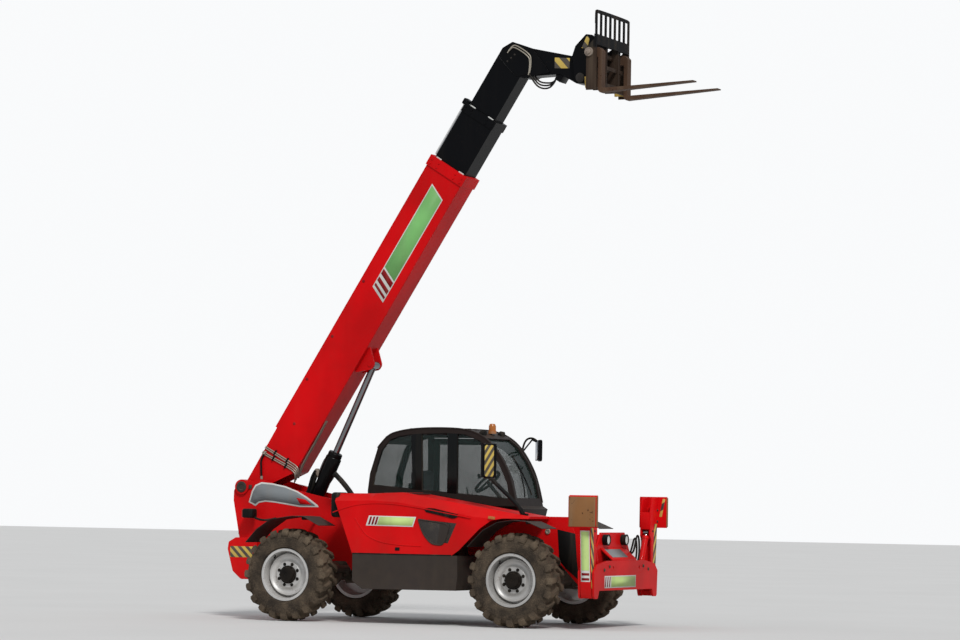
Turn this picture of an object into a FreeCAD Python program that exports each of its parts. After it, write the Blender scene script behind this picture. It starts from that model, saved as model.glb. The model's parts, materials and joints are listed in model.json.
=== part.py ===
"""Telehandler with a three-stage boom, raised and a little extended, and a pallet fork carriage.

The frame has +X forward, +Y to the left and +Z up, with its origin on the ground below the middle
of the machine. Outlines are written in millimetres from the rear axle and the ground, and boom
outlines along the boom from its pivot.
"""

import FreeCAD, Part
import math
import os
import re
import Sketcher
from FreeCAD import Vector

# Driving sizes in millimetres and degrees: name, value, meaning
SIZES = (
    ("rear_axle_x", -1925, "rear axle from the middle of the machine"),
    ("wheelbase", 3070, "rear axle to front axle"),
    ("track_half", 1000, "middle plane to the middle of a tyre"),
    ("tyre_radius", 575, "radius over the lugs, and height of the hubs"),
    ("tyre_half_width", 200, "half width of a tyre"),
    ("lug_depth", 38, "height of a tyre's lugs"),
    ("lug_count", 20, "lugs in each of a tyre's two rows"),
    ("bead_radius", 305, "radius of a tyre's bead seat"),
    ("flange_radius", 327, "radius of a rim's flange"),
    ("seat_gap", 0.3, "gap between pieces that seat on each other"),
    ("run_gap", 0.5, "gap between a pin and its bore"),
    ("spindle_radius", 45, "wheel spindle radius"),
    ("hub_radius", 105, "wheel hub radius"),
    ("kingpin_y", 800, "middle plane to a kingpin"),
    ("kingpin_radius", 28, "kingpin radius"),
    ("knuckle_half", 95, "half height of a knuckle barrel"),
    ("knuckle_radius", 72, "radius of a knuckle barrel"),
    ("yoke_gap", 5, "gap between a knuckle and its yoke"),
    ("yoke_plate", 30, "thickness of a yoke's arms"),
    ("axle_tube_radius", 80, "axle tube radius"),
    ("diff_radius", 165, "radius of the differential housing"),
    ("axle_pad_top", 745, "height of the axles' mounting pads"),
    ("steer_arm", 160, "kingpin to steering ball"),
    ("steer_rod_radius", 20, "steering rod radius"),
    ("steer_barrel_radius", 45, "steering cylinder radius"),
    ("chassis_half", 330, "middle plane to the inside of a side plate"),
    ("side_wall", 20, "thickness of a side plate"),
    ("pivot_x", -1053, "boom pivot from the rear axle"),
    ("pivot_z", 1664, "boom pivot above the ground"),
    ("pivot_pin_radius", 40, "boom pivot pin radius"),
    ("pivot_boss_radius", 95, "radius of the boom's pivot boss"),
    ("boom_angle", 58, "boom above the horizontal"),
    ("boom_half", 190, "half width of the outer boom"),
    ("boom_wall", 10, "plate of the boom sections"),
    ("outer_top", 95, "outer boom top above the pivot line"),
    ("outer_bottom", -461, "outer boom bottom below the pivot line"),
    ("outer_end", 4925, "outer boom end from the pivot"),
    ("mid_half", 160, "half width of the middle boom"),
    ("mid_top", 60, "middle boom top above the pivot line"),
    ("mid_bottom", -426, "middle boom bottom"),
    ("mid_start", 1207, "middle boom's rear end from the pivot"),
    ("mid_end", 5707, "middle boom's front end from the pivot"),
    ("inner_half", 132, "half width of the inner boom"),
    ("inner_top", 22, "inner boom top"),
    ("inner_bottom", -388, "inner boom bottom"),
    ("inner_start", 1650, "inner boom's rear end from the pivot"),
    ("inner_end", 6350, "inner boom's front end from the pivot"),
    ("lift_base_x", -550, "lift cylinder base pin from the rear axle"),
    ("lift_base_z", 700, "lift cylinder base pin above the ground"),
    ("lift_eye_along", 2221, "lift cylinder eye along the boom"),
    ("lift_eye_down", -582, "lift cylinder eye below the pivot line"),
    ("lift_barrel_radius", 80, "lift cylinder barrel radius"),
    ("lift_barrel_length", 1560, "base pin to the top of the barrel"),
    ("lift_rod_radius", 42, "lift cylinder rod radius"),
    ("lift_rod_length", 1560, "rod's piston end to its eye"),
    ("lift_eye_radius", 50, "eye radius of the lift cylinder"),
    ("lift_eye_half", 78, "half width of the lift cylinder's eyes"),
    ("lift_side_gap", 13, "gap between the lift cylinder and the plates beside it"),
    ("lift_pin_radius", 26, "lift cylinder pin radius"),
    ("ear_plate", 30, "plate of the lift cylinder's ears"),
    ("tilt_along", 6758, "carriage pivot along the boom"),
    ("tilt_down", -1122, "carriage pivot below the pivot line"),
    ("tilt_pin_radius", 32, "carriage pivot pin radius"),
    ("head_half", 110, "half width of the boom nose"),
    ("hitch_half", 185, "middle plane to the outside of a hitch plate"),
    ("hitch_plate", 35, "thickness of a hitch plate"),
    ("fork_shaft_ahead", 262, "fork shaft ahead of the carriage pivot"),
    ("fork_shaft_up", 268, "fork shaft above the carriage pivot"),
    ("fork_shaft_radius", 32, "fork shaft radius"),
    ("frame_half", 550, "half width of the fork frame"),
    ("fork_y", 430, "middle plane to a fork"),
    ("fork_width", 125, "width of a fork blade"),
    ("fork_back", 358, "back face of the fork shanks ahead of the carriage pivot"),
    ("fork_thick", 50, "thickness of a fork"),
    ("fork_length", 1200, "length of a fork blade"),
    ("fork_heel", -230, "underside of a fork at its heel, from the carriage pivot"),
    ("fork_pitch", 3.5, "rise of the fork blades"),
    ("backrest_top", 780, "top of the load backrest above the carriage pivot"),
    ("backrest_base", 360, "underside of the backrest's base rail"),
    ("backrest_bars", 8, "bars of the load backrest"),
    ("bar_width", 36, "width of a backrest bar"),
    ("cab_inner", 280, "middle plane to the cab's right wall"),
    ("cab_outer", 1150, "middle plane to the cab's left wall"),
    ("cab_low_inner", 362, "middle plane to the cab's lower right wall"),
    ("cab_wall", 45, "thickness of the cab's walls"),
    ("cab_floor", 800, "underside of the cab"),
    ("glass", 6, "thickness of the glass"),
    ("door_gap", 6, "gap round the door"),
    ("door_wall", 40, "thickness of the door"),
    ("hood_inner", 362, "middle plane to the hood's inner wall"),
    ("hood_wall", 8, "thickness of the hood"),
    ("skirt_half", 1140, "middle plane to the outside of the skirt"),
    ("skirt_top", 857, "height of the skirt"),
    ("fender_wall", 6, "thickness of a fender"),
    ("fender_inner", 700, "middle plane to a fender's inner edge"),
    ("fender_outer", 1160, "middle plane to a fender's outer edge"),
    ("beam_gap", 10, "gap between a stabiliser's arm and the beam's plates"),
    ("stab_y", 985, "middle plane to a stabiliser's pivot"),
    ("stab_z", 430, "height of a stabiliser's pivot"),
    ("stab_arm_half", 70, "half width of a stabiliser's arm, along the machine"),
    ("stab_plate", 25, "plate of the stabiliser beam"),
    ("beam_ahead", 835, "rear face of the front beam, from the rear axle"),
    ("ballast_front", -780, "front face of the counterweight, from the rear axle"),
    ("ballast_top", 1018, "top face of the counterweight"),
    ("tie_down_y", 430, "middle plane to a tie-down eye"),
    ("tie_down_z", 745, "height of a tie-down eye"),
    ("tie_down_radius", 20, "radius of a tie-down eye"),
    ("lamp_y", 300, "middle plane to a headlamp"),
    ("lamp_z", 1080, "height of a headlamp"),
    ("lamp_radius", 58, "radius of a headlamp"),
    ("tow_x", -1150, "tow pin from the rear axle"),
    ("tow_z", 570, "middle of the tow hitch"),
    ("tow_gap", 30, "half the gap of the tow hitch"),
    ("tow_plate", 20, "plate of the tow hitch"),
    ("tow_radius", 16, "radius of the tow hitch's bore"),
    ("stab_reach", 930, "stabiliser's pivot to its foot"),
    ("stab_base_y", 640, "middle plane to a stabiliser cylinder's base pin"),
    ("stab_base_z", 560, "height of a stabiliser cylinder's base pin"),
    ("stab_eye_y", 925, "middle plane to a stabiliser cylinder's eye"),
    ("stab_eye_z", 1165, "height of a stabiliser cylinder's eye"),
    ("stab_barrel_radius", 38, "stabiliser cylinder barrel radius"),
    ("stab_rod_radius", 20, "stabiliser cylinder rod radius"),
    ("stab_eye_half", 30, "half width of a stabiliser cylinder's eye"),
    ("stab_eye_radius", 32, "eye radius of a stabiliser cylinder"),
    ("stab_pin_radius", 20, "stabiliser pin radius"),
    ("stab_barrel_length", 620, "base pin to the top of a stabiliser's barrel"),
    ("stab_rod_length", 620, "rod's piston end to its eye"),
)
NAMES = {name for name, value, meaning in SIZES}
# Places worked out from the sizes
DERIVED = {
    "beam_back": "(wheelbase + beam_ahead)",
    "stab_x": "(wheelbase + beam_ahead + stab_plate + beam_gap + stab_arm_half)",
    "beam_front": "(wheelbase + beam_ahead + 2*stab_plate + 2*beam_gap + 2*stab_arm_half)",
}
WORD = re.compile(r"[a-z_][a-z_0-9]*")
PLANES = {"side": "XZ_Plane", "front": "YZ_Plane", "plan": "XY_Plane"}

doc = FreeCAD.newDocument("telehandler")
sheet = doc.addObject("Spreadsheet::Sheet", "sizes")
nodes = []


def fill_sheet():
    """Put every driving size in the sheet, with its name as the alias."""
    for row, (name, value, meaning) in enumerate(SIZES, 1):
        sheet.set(f"A{row}", meaning)
        sheet.set(f"B{row}", str(value))
        sheet.setAlias(f"B{row}", name)
    doc.recompute()


def bound(text):
    """Turn size names in an expression into cells of the sheet."""
    spelled = WORD.sub(lambda word: DERIVED.get(word[0], word[0]), str(text))
    return WORD.sub(lambda word: "sizes." + word[0] if word[0] in NAMES else word[0], spelled)


def number(text):
    """Work out an expression with the sheet's values."""
    if isinstance(text, (int, float)):
        return float(text)
    return float(sheet.evalExpression(bound(text)))


# Frames that sub-parts are drawn in: x, y, z of the origin, turning axis and angle
MACHINE = ("rear_axle_x", "0", "0", Vector(0, 1, 0), "0")
BOOM = ("rear_axle_x + pivot_x", "0", "pivot_z", Vector(0, 1, 0), "-boom_angle")


def settle(thing, frame):
    """Bind an object's placement to a frame."""
    x, y, z, axis, angle = frame
    place = f"placement(vector({x}; {y}; {z}); rotation(vector({axis.x}; {axis.y}; {axis.z}); {angle}))"
    thing.setExpression("Placement", bound(place))
    return thing


def draw_loop(sketch, loop):
    """Add one closed loop, a circle or an outline of points, fixed by its dimensions."""
    if loop[0] == "circle":
        cx, cy, radius = loop[1:]
        circle = Part.Circle(Vector(number(cx), number(cy), 0), Vector(0, 0, 1), number(radius))
        at = sketch.addGeometry(circle, False)
        datums = (("DistanceX", 3, cx), ("DistanceY", 3, cy))
        for kind, point, text in datums:
            rule = Sketcher.Constraint(kind, -1, 1, at, point, number(text))
            index = sketch.addConstraint(rule)
            if isinstance(text, str):
                sketch.setExpression(f"Constraints[{index}]", bound(text))
        index = sketch.addConstraint(Sketcher.Constraint("Radius", at, number(radius)))
        if isinstance(radius, str):
            sketch.setExpression(f"Constraints[{index}]", bound(radius))
        return
    corners = [(number(corner[0]), number(corner[1])) for corner in loop]
    start = sketch.GeometryCount
    for here, there in zip(corners, corners[1:] + corners[:1]):
        sketch.addGeometry(Part.LineSegment(Vector(*here, 0), Vector(*there, 0)), False)
    for at in range(len(loop)):
        after = start + (at + 1) % len(loop)
        sketch.addConstraint(Sketcher.Constraint("Coincident", start + at, 2, after, 1))
    for at, corner in enumerate(loop):
        for kind, text in (("DistanceX", corner[0]), ("DistanceY", corner[1])):
            rule = Sketcher.Constraint(kind, -1, 1, start + at, 1, number(text))
            index = sketch.addConstraint(rule)
            if isinstance(text, str):
                sketch.setExpression(f"Constraints[{index}]", bound(text))


def new_body(name, plane, loops, offset, frame):
    """Start a body with one sketch on an origin plane."""
    body = doc.addObject("PartDesign::Body", name)
    sketch = body.newObject("Sketcher::SketchObject", name + "_sketch")
    origin_plane = [item for item in body.Origin.OriginFeatures if item.Role == PLANES[plane]][0]
    sketch.AttachmentSupport = (origin_plane, [""])
    sketch.MapMode = "FlatFace"
    sketch.setExpression("AttachmentOffset.Base.z", bound(offset))
    for loop in loops:
        draw_loop(sketch, loop)
    settle(body, frame)
    return body, sketch


def round_corners(body, name, plane, loops):
    """Round the long edges at the outline points that give a third value, their radius."""
    corners = [corner for loop in loops if loop[0] != "circle" for corner in loop if len(corner) > 2]
    for radius in sorted({corner[2] for corner in corners}, key=number):
        doc.recompute()
        edges = []
        shape = body.Tip.Shape
        for index, edge in enumerate(shape.Edges, 1):
            spots = [flat(plane, vertex.Point) for vertex in edge.Vertexes]
            for corner in corners:
                spot = (number(corner[0]), number(corner[1]))
                if corner[2] == radius and len(spots) == 2 and all(math.dist(spot, end) < 0.01 for end in spots):
                    edges.append(f"Edge{index}")
        fillet = body.newObject("PartDesign::Fillet", f"{name}_round_{len(body.Group)}")
        fillet.Base = (body.Tip if body.Tip != fillet else body.Group[-2], edges)
        if isinstance(radius, str):
            fillet.setExpression("Radius", bound(radius))
        else:
            fillet.Radius = radius
        body.Tip = fillet


def flat(plane, point):
    """Give a point's two coordinates in a sketch plane."""
    return {"side": (point.x, point.z), "front": (point.y, point.z), "plan": (point.x, point.y)}[plane]


def pad(name, plane, loops, low, high, frame=MACHINE):
    """Make a body by padding loops across a plane, from low to high on its world axis."""
    offset = f"-({high})" if plane == "side" else low
    body, sketch = new_body(name, plane, loops, offset, frame)
    feature = body.newObject("PartDesign::Pad", name + "_pad")
    feature.Profile = sketch
    feature.setExpression("Length", bound(f"({high}) - ({low})"))
    body.Tip = feature
    round_corners(body, name, plane, loops)
    return body


def turned(name, plane, outline, frame, axis="H_Axis"):
    """Make a body by turning an outline about an axis of its sketch."""
    body, sketch = new_body(name, plane, [outline], "0", frame)
    feature = body.newObject("PartDesign::Revolution", name + "_turn")
    feature.Profile = sketch
    feature.ReferenceAxis = (sketch, [axis])
    feature.Angle = 360
    body.Tip = feature
    return body


def join(name, pieces):
    """Fuse pieces into one."""
    fusion = doc.addObject("Part::MultiFuse", name)
    fusion.Shapes = pieces
    fusion.Refine = True
    return fusion


def cut(name, base, tool):
    """Cut a tool, or several, out of a base."""
    result = doc.addObject("Part::Cut", name)
    result.Base = base
    result.Tool = join(name + "_tools", tool) if isinstance(tool, list) else tool
    result.Refine = True
    return result


def common(name, first, second):
    """Keep what two pieces share."""
    result = doc.addObject("Part::Common", name)
    result.Base = first
    result.Tool = second
    result.Refine = True
    return result


def studded(body, name, loop, low, high, taper, lead, count):
    """Raise a block on a turned body, pointing up, and repeat it evenly about the body's axis."""
    axis_sketch = body.Group[0]
    sketch = body.newObject("Sketcher::SketchObject", name + "_sketch")
    sketch.AttachmentSupport = ([item for item in body.Origin.OriginFeatures if item.Role == PLANES["plan"]][0], [""])
    sketch.MapMode = "FlatFace"
    spin = f"rotation(vector(0; 1; 0); {lead})"
    sketch.setExpression("AttachmentOffset", bound(f"placement({spin} * vector(0; 0; {low}); {spin})"))
    draw_loop(sketch, loop)
    stud = body.newObject("PartDesign::Pad", name + "_pad")
    stud.Profile = sketch
    stud.setExpression("Length", bound(f"({high}) - ({low})"))
    stud.TaperAngle = taper
    pattern = body.newObject("PartDesign::PolarPattern", name + "_pattern")
    pattern.Originals = [stud]
    pattern.Axis = (axis_sketch, ["H_Axis"])
    pattern.Angle = 360
    pattern.setExpression("Occurrences", bound(count))
    body.Tip = pattern
    return body


def node(name, thing):
    """Name a finished sub-part, which is written to a file of that name."""
    thing.Label = name
    nodes.append(thing)
    return thing


def mirrored(side, low, high):
    """Give the extent of a piece on the left side, 1, or the right side, -1."""
    return (low, high) if side > 0 else (f"-({high})", f"-({low})")


def block(name, low, high, frame=MACHINE):
    """Make a box between two corners."""
    loop = [(low[0], low[2]), (high[0], low[2]), (high[0], high[2]), (low[0], high[2])]
    return pad(name, "side", [loop], low[1], high[1], frame)


SIDES = ((1, "left"), (-1, "right"))
ENDS = (("front", "wheelbase", 1), ("rear", "0", -1))


def make_wheels():
    """Tyres and rims, each turned about the wheel's own axis, outside towards +Y before mirroring."""
    # across the tyre from its middle, radius
    bead = (
        ("-tyre_half_width*0.75 + seat_gap", "bead_radius + seat_gap"),
        ("-tyre_half_width*0.75 - 5 + seat_gap", "flange_radius + 3"), ("-tyre_half_width*0.93", "flange_radius + 18"),
        ("-tyre_half_width*0.97", "(bead_radius + tyre_radius)/2"),
    )
    shoulder = (("-tyre_half_width*0.93", "tyre_radius - 95"), ("-tyre_half_width*0.78", "tyre_radius - lug_depth - 12"))
    tread = (("-tyre_half_width*0.4", "tyre_radius - lug_depth"),)
    carcass = bead + shoulder + tread
    carcass += tuple((f"-({across})", radius) for across, radius in reversed(carcass))
    reach = (
        ("-tyre_half_width", "bead_radius + seat_gap"), ("-tyre_half_width", "tyre_radius - 62"),
        ("-tyre_half_width*0.9", "tyre_radius - 12"), ("-tyre_half_width*0.6", "tyre_radius"),
    )
    reach += tuple((f"-({across})", radius) for across, radius in reversed(reach))
    # ahead of the lug's middle, across the tyre, at the lug's foot
    lug = (
        (-44, "tyre_half_width + 4"), (44, "tyre_half_width + 4"), (52, "tyre_half_width*0.6"), (118, "-tyre_half_width*0.06"),
        (62, "-tyre_half_width*0.16"), (-26, "tyre_half_width*0.5"),
    )
    # distance outwards from the tyre's middle, radius
    rim = (
        ("-tyre_half_width*0.75", "bead_radius"), ("-tyre_half_width*0.75 - 5", "flange_radius"),
        ("-tyre_half_width*0.75 - 18", "flange_radius"), ("-tyre_half_width*0.75 - 18", "bead_radius - 16"),
        ("-tyre_half_width*0.2", "bead_radius - 30"), ("-10", "bead_radius - 42"),
        ("-10", "hub_radius + 60"), ("-40", "hub_radius + 30"), ("-60", "hub_radius"),
        ("-110", "hub_radius"), ("-110", "spindle_radius + run_gap"), ("30", "spindle_radius + run_gap"),
        ("30", "0"), ("75", "0"), ("75", "hub_radius*0.6"), ("40", "hub_radius*0.8"), ("20", "hub_radius*0.8"),
        ("-20", "hub_radius"), ("-20", "hub_radius + 40"), ("5", "hub_radius + 66"), ("5", "bead_radius - 30"),
        ("tyre_half_width*0.2", "bead_radius - 18"), ("tyre_half_width*0.75 + 18", "bead_radius - 10"),
        ("tyre_half_width*0.75 + 18", "flange_radius"), ("tyre_half_width*0.75 + 5", "flange_radius"),
        ("tyre_half_width*0.75", "bead_radius"),
    )
    for end, axle, lead in ENDS:
        for side, hand in SIDES:
            frame = (f"rear_axle_x + {axle}", f"{side}*track_half", "tyre_radius", Vector(0, 0, 1), str(90 - 90*side))
            body = turned(f"tyre_{end}_{hand}_carcass", "front", carcass, frame)
            for row, mirror, lead_angle in (("out", 1, 0), ("in", -1, 9)):
                outline = [(x, f"{mirror}*({y})") for x, y in lug]
                studded(body, f"lug_{end}_{hand}_{row}", outline, "tyre_radius - 92", "tyre_radius + 10", -9, lead_angle,
                        "lug_count")
            envelope = turned(f"tyre_{end}_{hand}_reach", "front", reach, frame)
            node(f"tyre_{end}_{hand}", common(f"tyre_{end}_{hand}", body, envelope))
            node(f"rim_{end}_{hand}", turned(f"rim_{end}_{hand}", "front", rim, frame))


def make_axles():
    """Axle beams with yokes, and the knuckles that the wheels turn on."""
    for end, axle, lead in ENDS:
        beam = (
            ("-kingpin_y + 150", 0), ("-kingpin_y + 150", "axle_tube_radius"), ("-250", "axle_tube_radius + 12"),
            ("-120", "diff_radius"), ("120", "diff_radius"), ("250", "axle_tube_radius + 12"),
            ("kingpin_y - 150", "axle_tube_radius"), ("kingpin_y - 150", 0),
        )
        frame = (f"rear_axle_x + {axle}", "0", "tyre_radius", Vector(0, 0, 1), "0")
        pieces = [turned(f"axle_beam_{end}", "front", beam, frame)]
        yoke_top = "knuckle_half + yoke_gap + yoke_plate"
        for side, hand in SIDES:
            outer = [
                (f"{side}*(kingpin_y - 155)", "-axle_tube_radius - 10"), (f"{side}*(kingpin_y - 155)", "axle_tube_radius + 10"),
                (f"{side}*(kingpin_y - 110)", yoke_top), (f"{side}*(kingpin_y + 45)", yoke_top),
                (f"{side}*(kingpin_y + 45)", "knuckle_half + yoke_gap"),
                (f"{side}*(kingpin_y - 88)", "knuckle_half + yoke_gap"),
                (f"{side}*(kingpin_y - 88)", "-knuckle_half - yoke_gap"),
                (f"{side}*(kingpin_y + 45)", "-knuckle_half - yoke_gap"),
                (f"{side}*(kingpin_y + 45)", f"-({yoke_top})"), (f"{side}*(kingpin_y - 110)", f"-({yoke_top})"),
            ]
            yoke = pad(f"yoke_{end}_{hand}", "front", [outer], "-62", "62", frame)
            bore = pad(f"yoke_bore_{end}_{hand}", "plan", [("circle", "0", f"{side}*kingpin_y", "kingpin_radius + run_gap")],
                       "-300", "300", frame)
            pieces.append(cut(f"yoke_bored_{end}_{hand}", yoke, bore))
            low, high = mirrored(side, "chassis_half - 40", "chassis_half + side_wall + 20")
            seat = [(-90, 40), (90, 40), (120, "axle_pad_top - tyre_radius"), (-120, "axle_pad_top - tyre_radius")]
            pieces.append(pad(f"axle_pad_{end}_{hand}", "side", [seat], low, high, frame))
        steer_x = f"-{lead}*steer_arm"
        barrel = [(-260, 0), (-260, "steer_barrel_radius"), (260, "steer_barrel_radius"), (260, 0)]
        steer_frame = (f"rear_axle_x + {axle} + {steer_x}", "0", "tyre_radius + 62", Vector(0, 0, 1), "0")
        tube = turned(f"steer_tube_{end}", "front", barrel, steer_frame)
        rod_bore = pad(f"steer_bore_{end}", "side", [("circle", 0, 0, "steer_rod_radius + run_gap")], "-300", "300", steer_frame)
        bracket = [("0", -40), (f"{steer_x}", -40), (f"{steer_x}", 62), ("0", 62)]
        brackets = [
            pad(f"steer_bracket_{end}_{hand}", "side", [bracket], *mirrored(side, "180", "240"), frame)
            for side, hand in SIDES
        ]
        body = join(f"axle_joined_{end}", pieces + brackets + [tube])
        node(f"{end}_axle", cut(f"{end}_axle", body, rod_bore))
        rod = pad(f"steer_rod_shaft_{end}", "side", [("circle", 0, 0, "steer_rod_radius")], "-kingpin_y + 150", "kingpin_y - 150",
                  steer_frame)
        eyes = []
        for side, hand in SIDES:
            low, high = mirrored(side, "kingpin_y - 160", "kingpin_y + 30")
            eyes.append(block(f"steer_eye_{end}_{hand}", (-30, low, -12), (30, high, 12), steer_frame))
        node(f"steer_rod_{end}", join(f"steer_rod_{end}", [rod] + eyes))
        for side, hand in SIDES:
            label = f"knuckle_{end}_{hand}"
            kingpin_frame = (f"rear_axle_x + {axle}", f"{side}*kingpin_y", "tyre_radius", Vector(0, 0, 1), "0")
            barrel = pad(label + "_barrel", "plan", [("circle", 0, 0, "knuckle_radius")], "-knuckle_half", "knuckle_half", kingpin_frame)
            pin = pad(label + "_pin", "plan", [("circle", 0, 0, "kingpin_radius")], "-knuckle_half - 30", "knuckle_half + 30",
                      kingpin_frame)
            spindle = pad(label + "_spindle", "side", [("circle", 0, 0, "spindle_radius")],
                          *mirrored(side, "0", "track_half - kingpin_y + 25"), kingpin_frame)
            shoulder = pad(label + "_shoulder", "side", [("circle", 0, 0, "spindle_radius + 20")],
                           *mirrored(side, "0", "track_half - kingpin_y - 115"), kingpin_frame)
            arm_low, arm_high = mirrored(side, "-22", "30")
            back, ahead = ("-steer_arm", "0") if lead > 0 else ("0", "steer_arm")
            arm = block(label + "_arm", (back, arm_low, 20), (ahead, arm_high, 42), kingpin_frame)
            ball = pad(label + "_ball", "plan", [("circle", steer_x, 4 * side, 34)], "20", "42", kingpin_frame)
            node(label, join(label, [barrel, pin, spindle, shoulder, arm, ball]))


def make_chassis():
    """Side plates, cross members, counterweight and front beam."""
    # distance from the rear axle, height, corner radius
    side = [
        ("ballast_front", "ballast_top"), (-1085, "ballast_top"), (-1178, 1489), (-1176, 1618, 45), (-1112, 1709, 30), (-794, 1765, 60),
        (-388, 1654), (299, 1511), (460, 1430), (2925, 1350), (3500, 1350, 60), (3560, 1140), ("beam_back - seat_gap", 1120),
        ("beam_back - seat_gap", 500), (3640, 500), (3340, 810, 40), (3205, "axle_pad_top + seat_gap"),
        (2760, "axle_pad_top + seat_gap", 30), (2560, 480), (640, 480), (440, "axle_pad_top + seat_gap", 30),
        (-420, "axle_pad_top + seat_gap", 30), ("ballast_front", 560),
    ]
    pivot_hole = ("circle", "pivot_x", "pivot_z", "pivot_pin_radius + run_gap")
    for sign, hand in SIDES:
        label = f"chassis_side_{hand}"
        low, high = mirrored(sign, "chassis_half", "chassis_half + side_wall")
        plate = pad(label + "_plate", "side", [side, pivot_hole], low, high)
        low, high = mirrored(sign, "boom_half + 8", "chassis_half + side_wall + 30")
        boss = pad(label + "_boss", "side", [("circle", "pivot_x", "pivot_z", "pivot_boss_radius"), pivot_hole], low, high)
        node(label, join(label, [plate, boss]))
    # name, back, front, low, high
    members = (
        ("tower_back", -1110, -1085, 1060, 1480), ("tower_floor", -1085, -700, 1030, 1050),
        ("rear_member", "lift_base_x - 110", "lift_base_x - 90", 600, 1000), ("belly_plate", 640, 2560, 480, 500),
        ("mid_member", 640, 660, 500, 820), ("front_member", 2530, 2550, 500, 900),
        ("nose_floor", 2800, 3860, 1010, 1030), ("nose_member", 3340, 3360, 830, 1010),
    )
    cross = [
        block(name, (back, "-chassis_half + seat_gap", low), (front, "chassis_half - seat_gap", high))
        for name, back, front, low, high in members
    ]
    lug = [
        ("lift_base_x - 91", "lift_base_z - 60"), ("lift_base_x - 30", "lift_base_z - 60"), ("lift_base_x + 30", "lift_base_z - 60"),
        ("lift_base_x + 65", "lift_base_z - 20"), ("lift_base_x + 65", "lift_base_z + 20"), ("lift_base_x + 30", "lift_base_z + 62"),
        ("lift_base_x - 91", "lift_base_z + 200"),
    ]
    lugs = [
        pad(f"lift_lug_{hand}", "side", [lug],
            *mirrored(sign, "lift_eye_half + lift_side_gap", "lift_eye_half + lift_side_gap + ear_plate"))
        for sign, hand in SIDES
    ]
    lugs.append(pad("lift_base_pin", "side", [("circle", "lift_base_x", "lift_base_z", "lift_pin_radius")],
                    "-lift_eye_half - lift_side_gap - 1", "lift_eye_half + lift_side_gap + 1"))
    node("chassis_cross_members", join("chassis_cross_members", cross + lugs))
    weight = [
        (-1085, "ballast_top - seat_gap", 10), (-1185, 961, 30), (-1198, 870, 60), (-1120, 589, 60), (-1002, 488, 40),
        ("ballast_front - seat_gap", 488), ("ballast_front - seat_gap", "ballast_top - seat_gap"),
    ]
    tongues = []
    for level, low, high in (("low", "tow_z - tow_gap - tow_plate", "tow_z - tow_gap"), ("high", "tow_z + tow_gap", "tow_z + tow_gap + tow_plate")):
        tongue = [("tow_x - 32", -40), ("tow_x - 10", -60), (-1010, -60), (-1010, 60), ("tow_x - 10", 60), ("tow_x - 32", 40)]
        tongues.append(pad(f"tow_tongue_{level}", "plan", [tongue, ("circle", "tow_x", 0, "tow_radius")], low, high))
    node("rear_counterweight", join("rear_counterweight", [pad("ballast", "side", [weight], "-450", "450")] + tongues))
    # across the machine, height
    foot = [
        (-1040, "stab_z - 55", 40), (-925, "stab_z - 55", 40), (-880, 470), (880, 470), (925, "stab_z - 55", 40),
        (1040, "stab_z - 55", 40), (1060, 700, 30),
    ]
    low_top = [(960, 785, 40), (640, 830), (-640, 830), (-960, 785, 40), (-1060, 700, 30)]
    high_top = [
        (960, 785, 40), (640, 830), (440, 1090, 30), (385, 1170, 20), (-385, 1170, 20), (-440, 1090, 30), (-640, 830),
        (-960, 785, 40), (-1060, 700, 30),
    ]
    tie_downs = [("circle", f"{sign}*tie_down_y", "tie_down_z", "tie_down_radius") for sign, hand in SIDES]
    beam_plates = [
        pad("beam_front_plate", "front", [foot + low_top] + tie_downs, "beam_front - stab_plate", "beam_front"),
        pad("beam_rear_plate", "front", [foot + high_top], "beam_back", "beam_back + stab_plate"),
        block("beam_bottom", ("beam_back + 5", -560, 470), ("beam_front - 5", 560, 500)),
        block("beam_web", ("beam_back + 5", -300, 500), ("beam_front - 5", 300, 820)),
    ]
    for sign, hand in SIDES:
        for name, place_y, place_z in (("base", "stab_base_y", "stab_base_z"), ("hinge", "stab_y", "stab_z")):
            spot = ("circle", f"{sign}*{place_y}", place_z, "stab_pin_radius")
            beam_plates.append(pad(f"beam_pin_{name}_{hand}", "front", [spot], "beam_back + 5", "beam_front - 5"))
    node("front_beam", join("front_beam", beam_plates))


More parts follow.
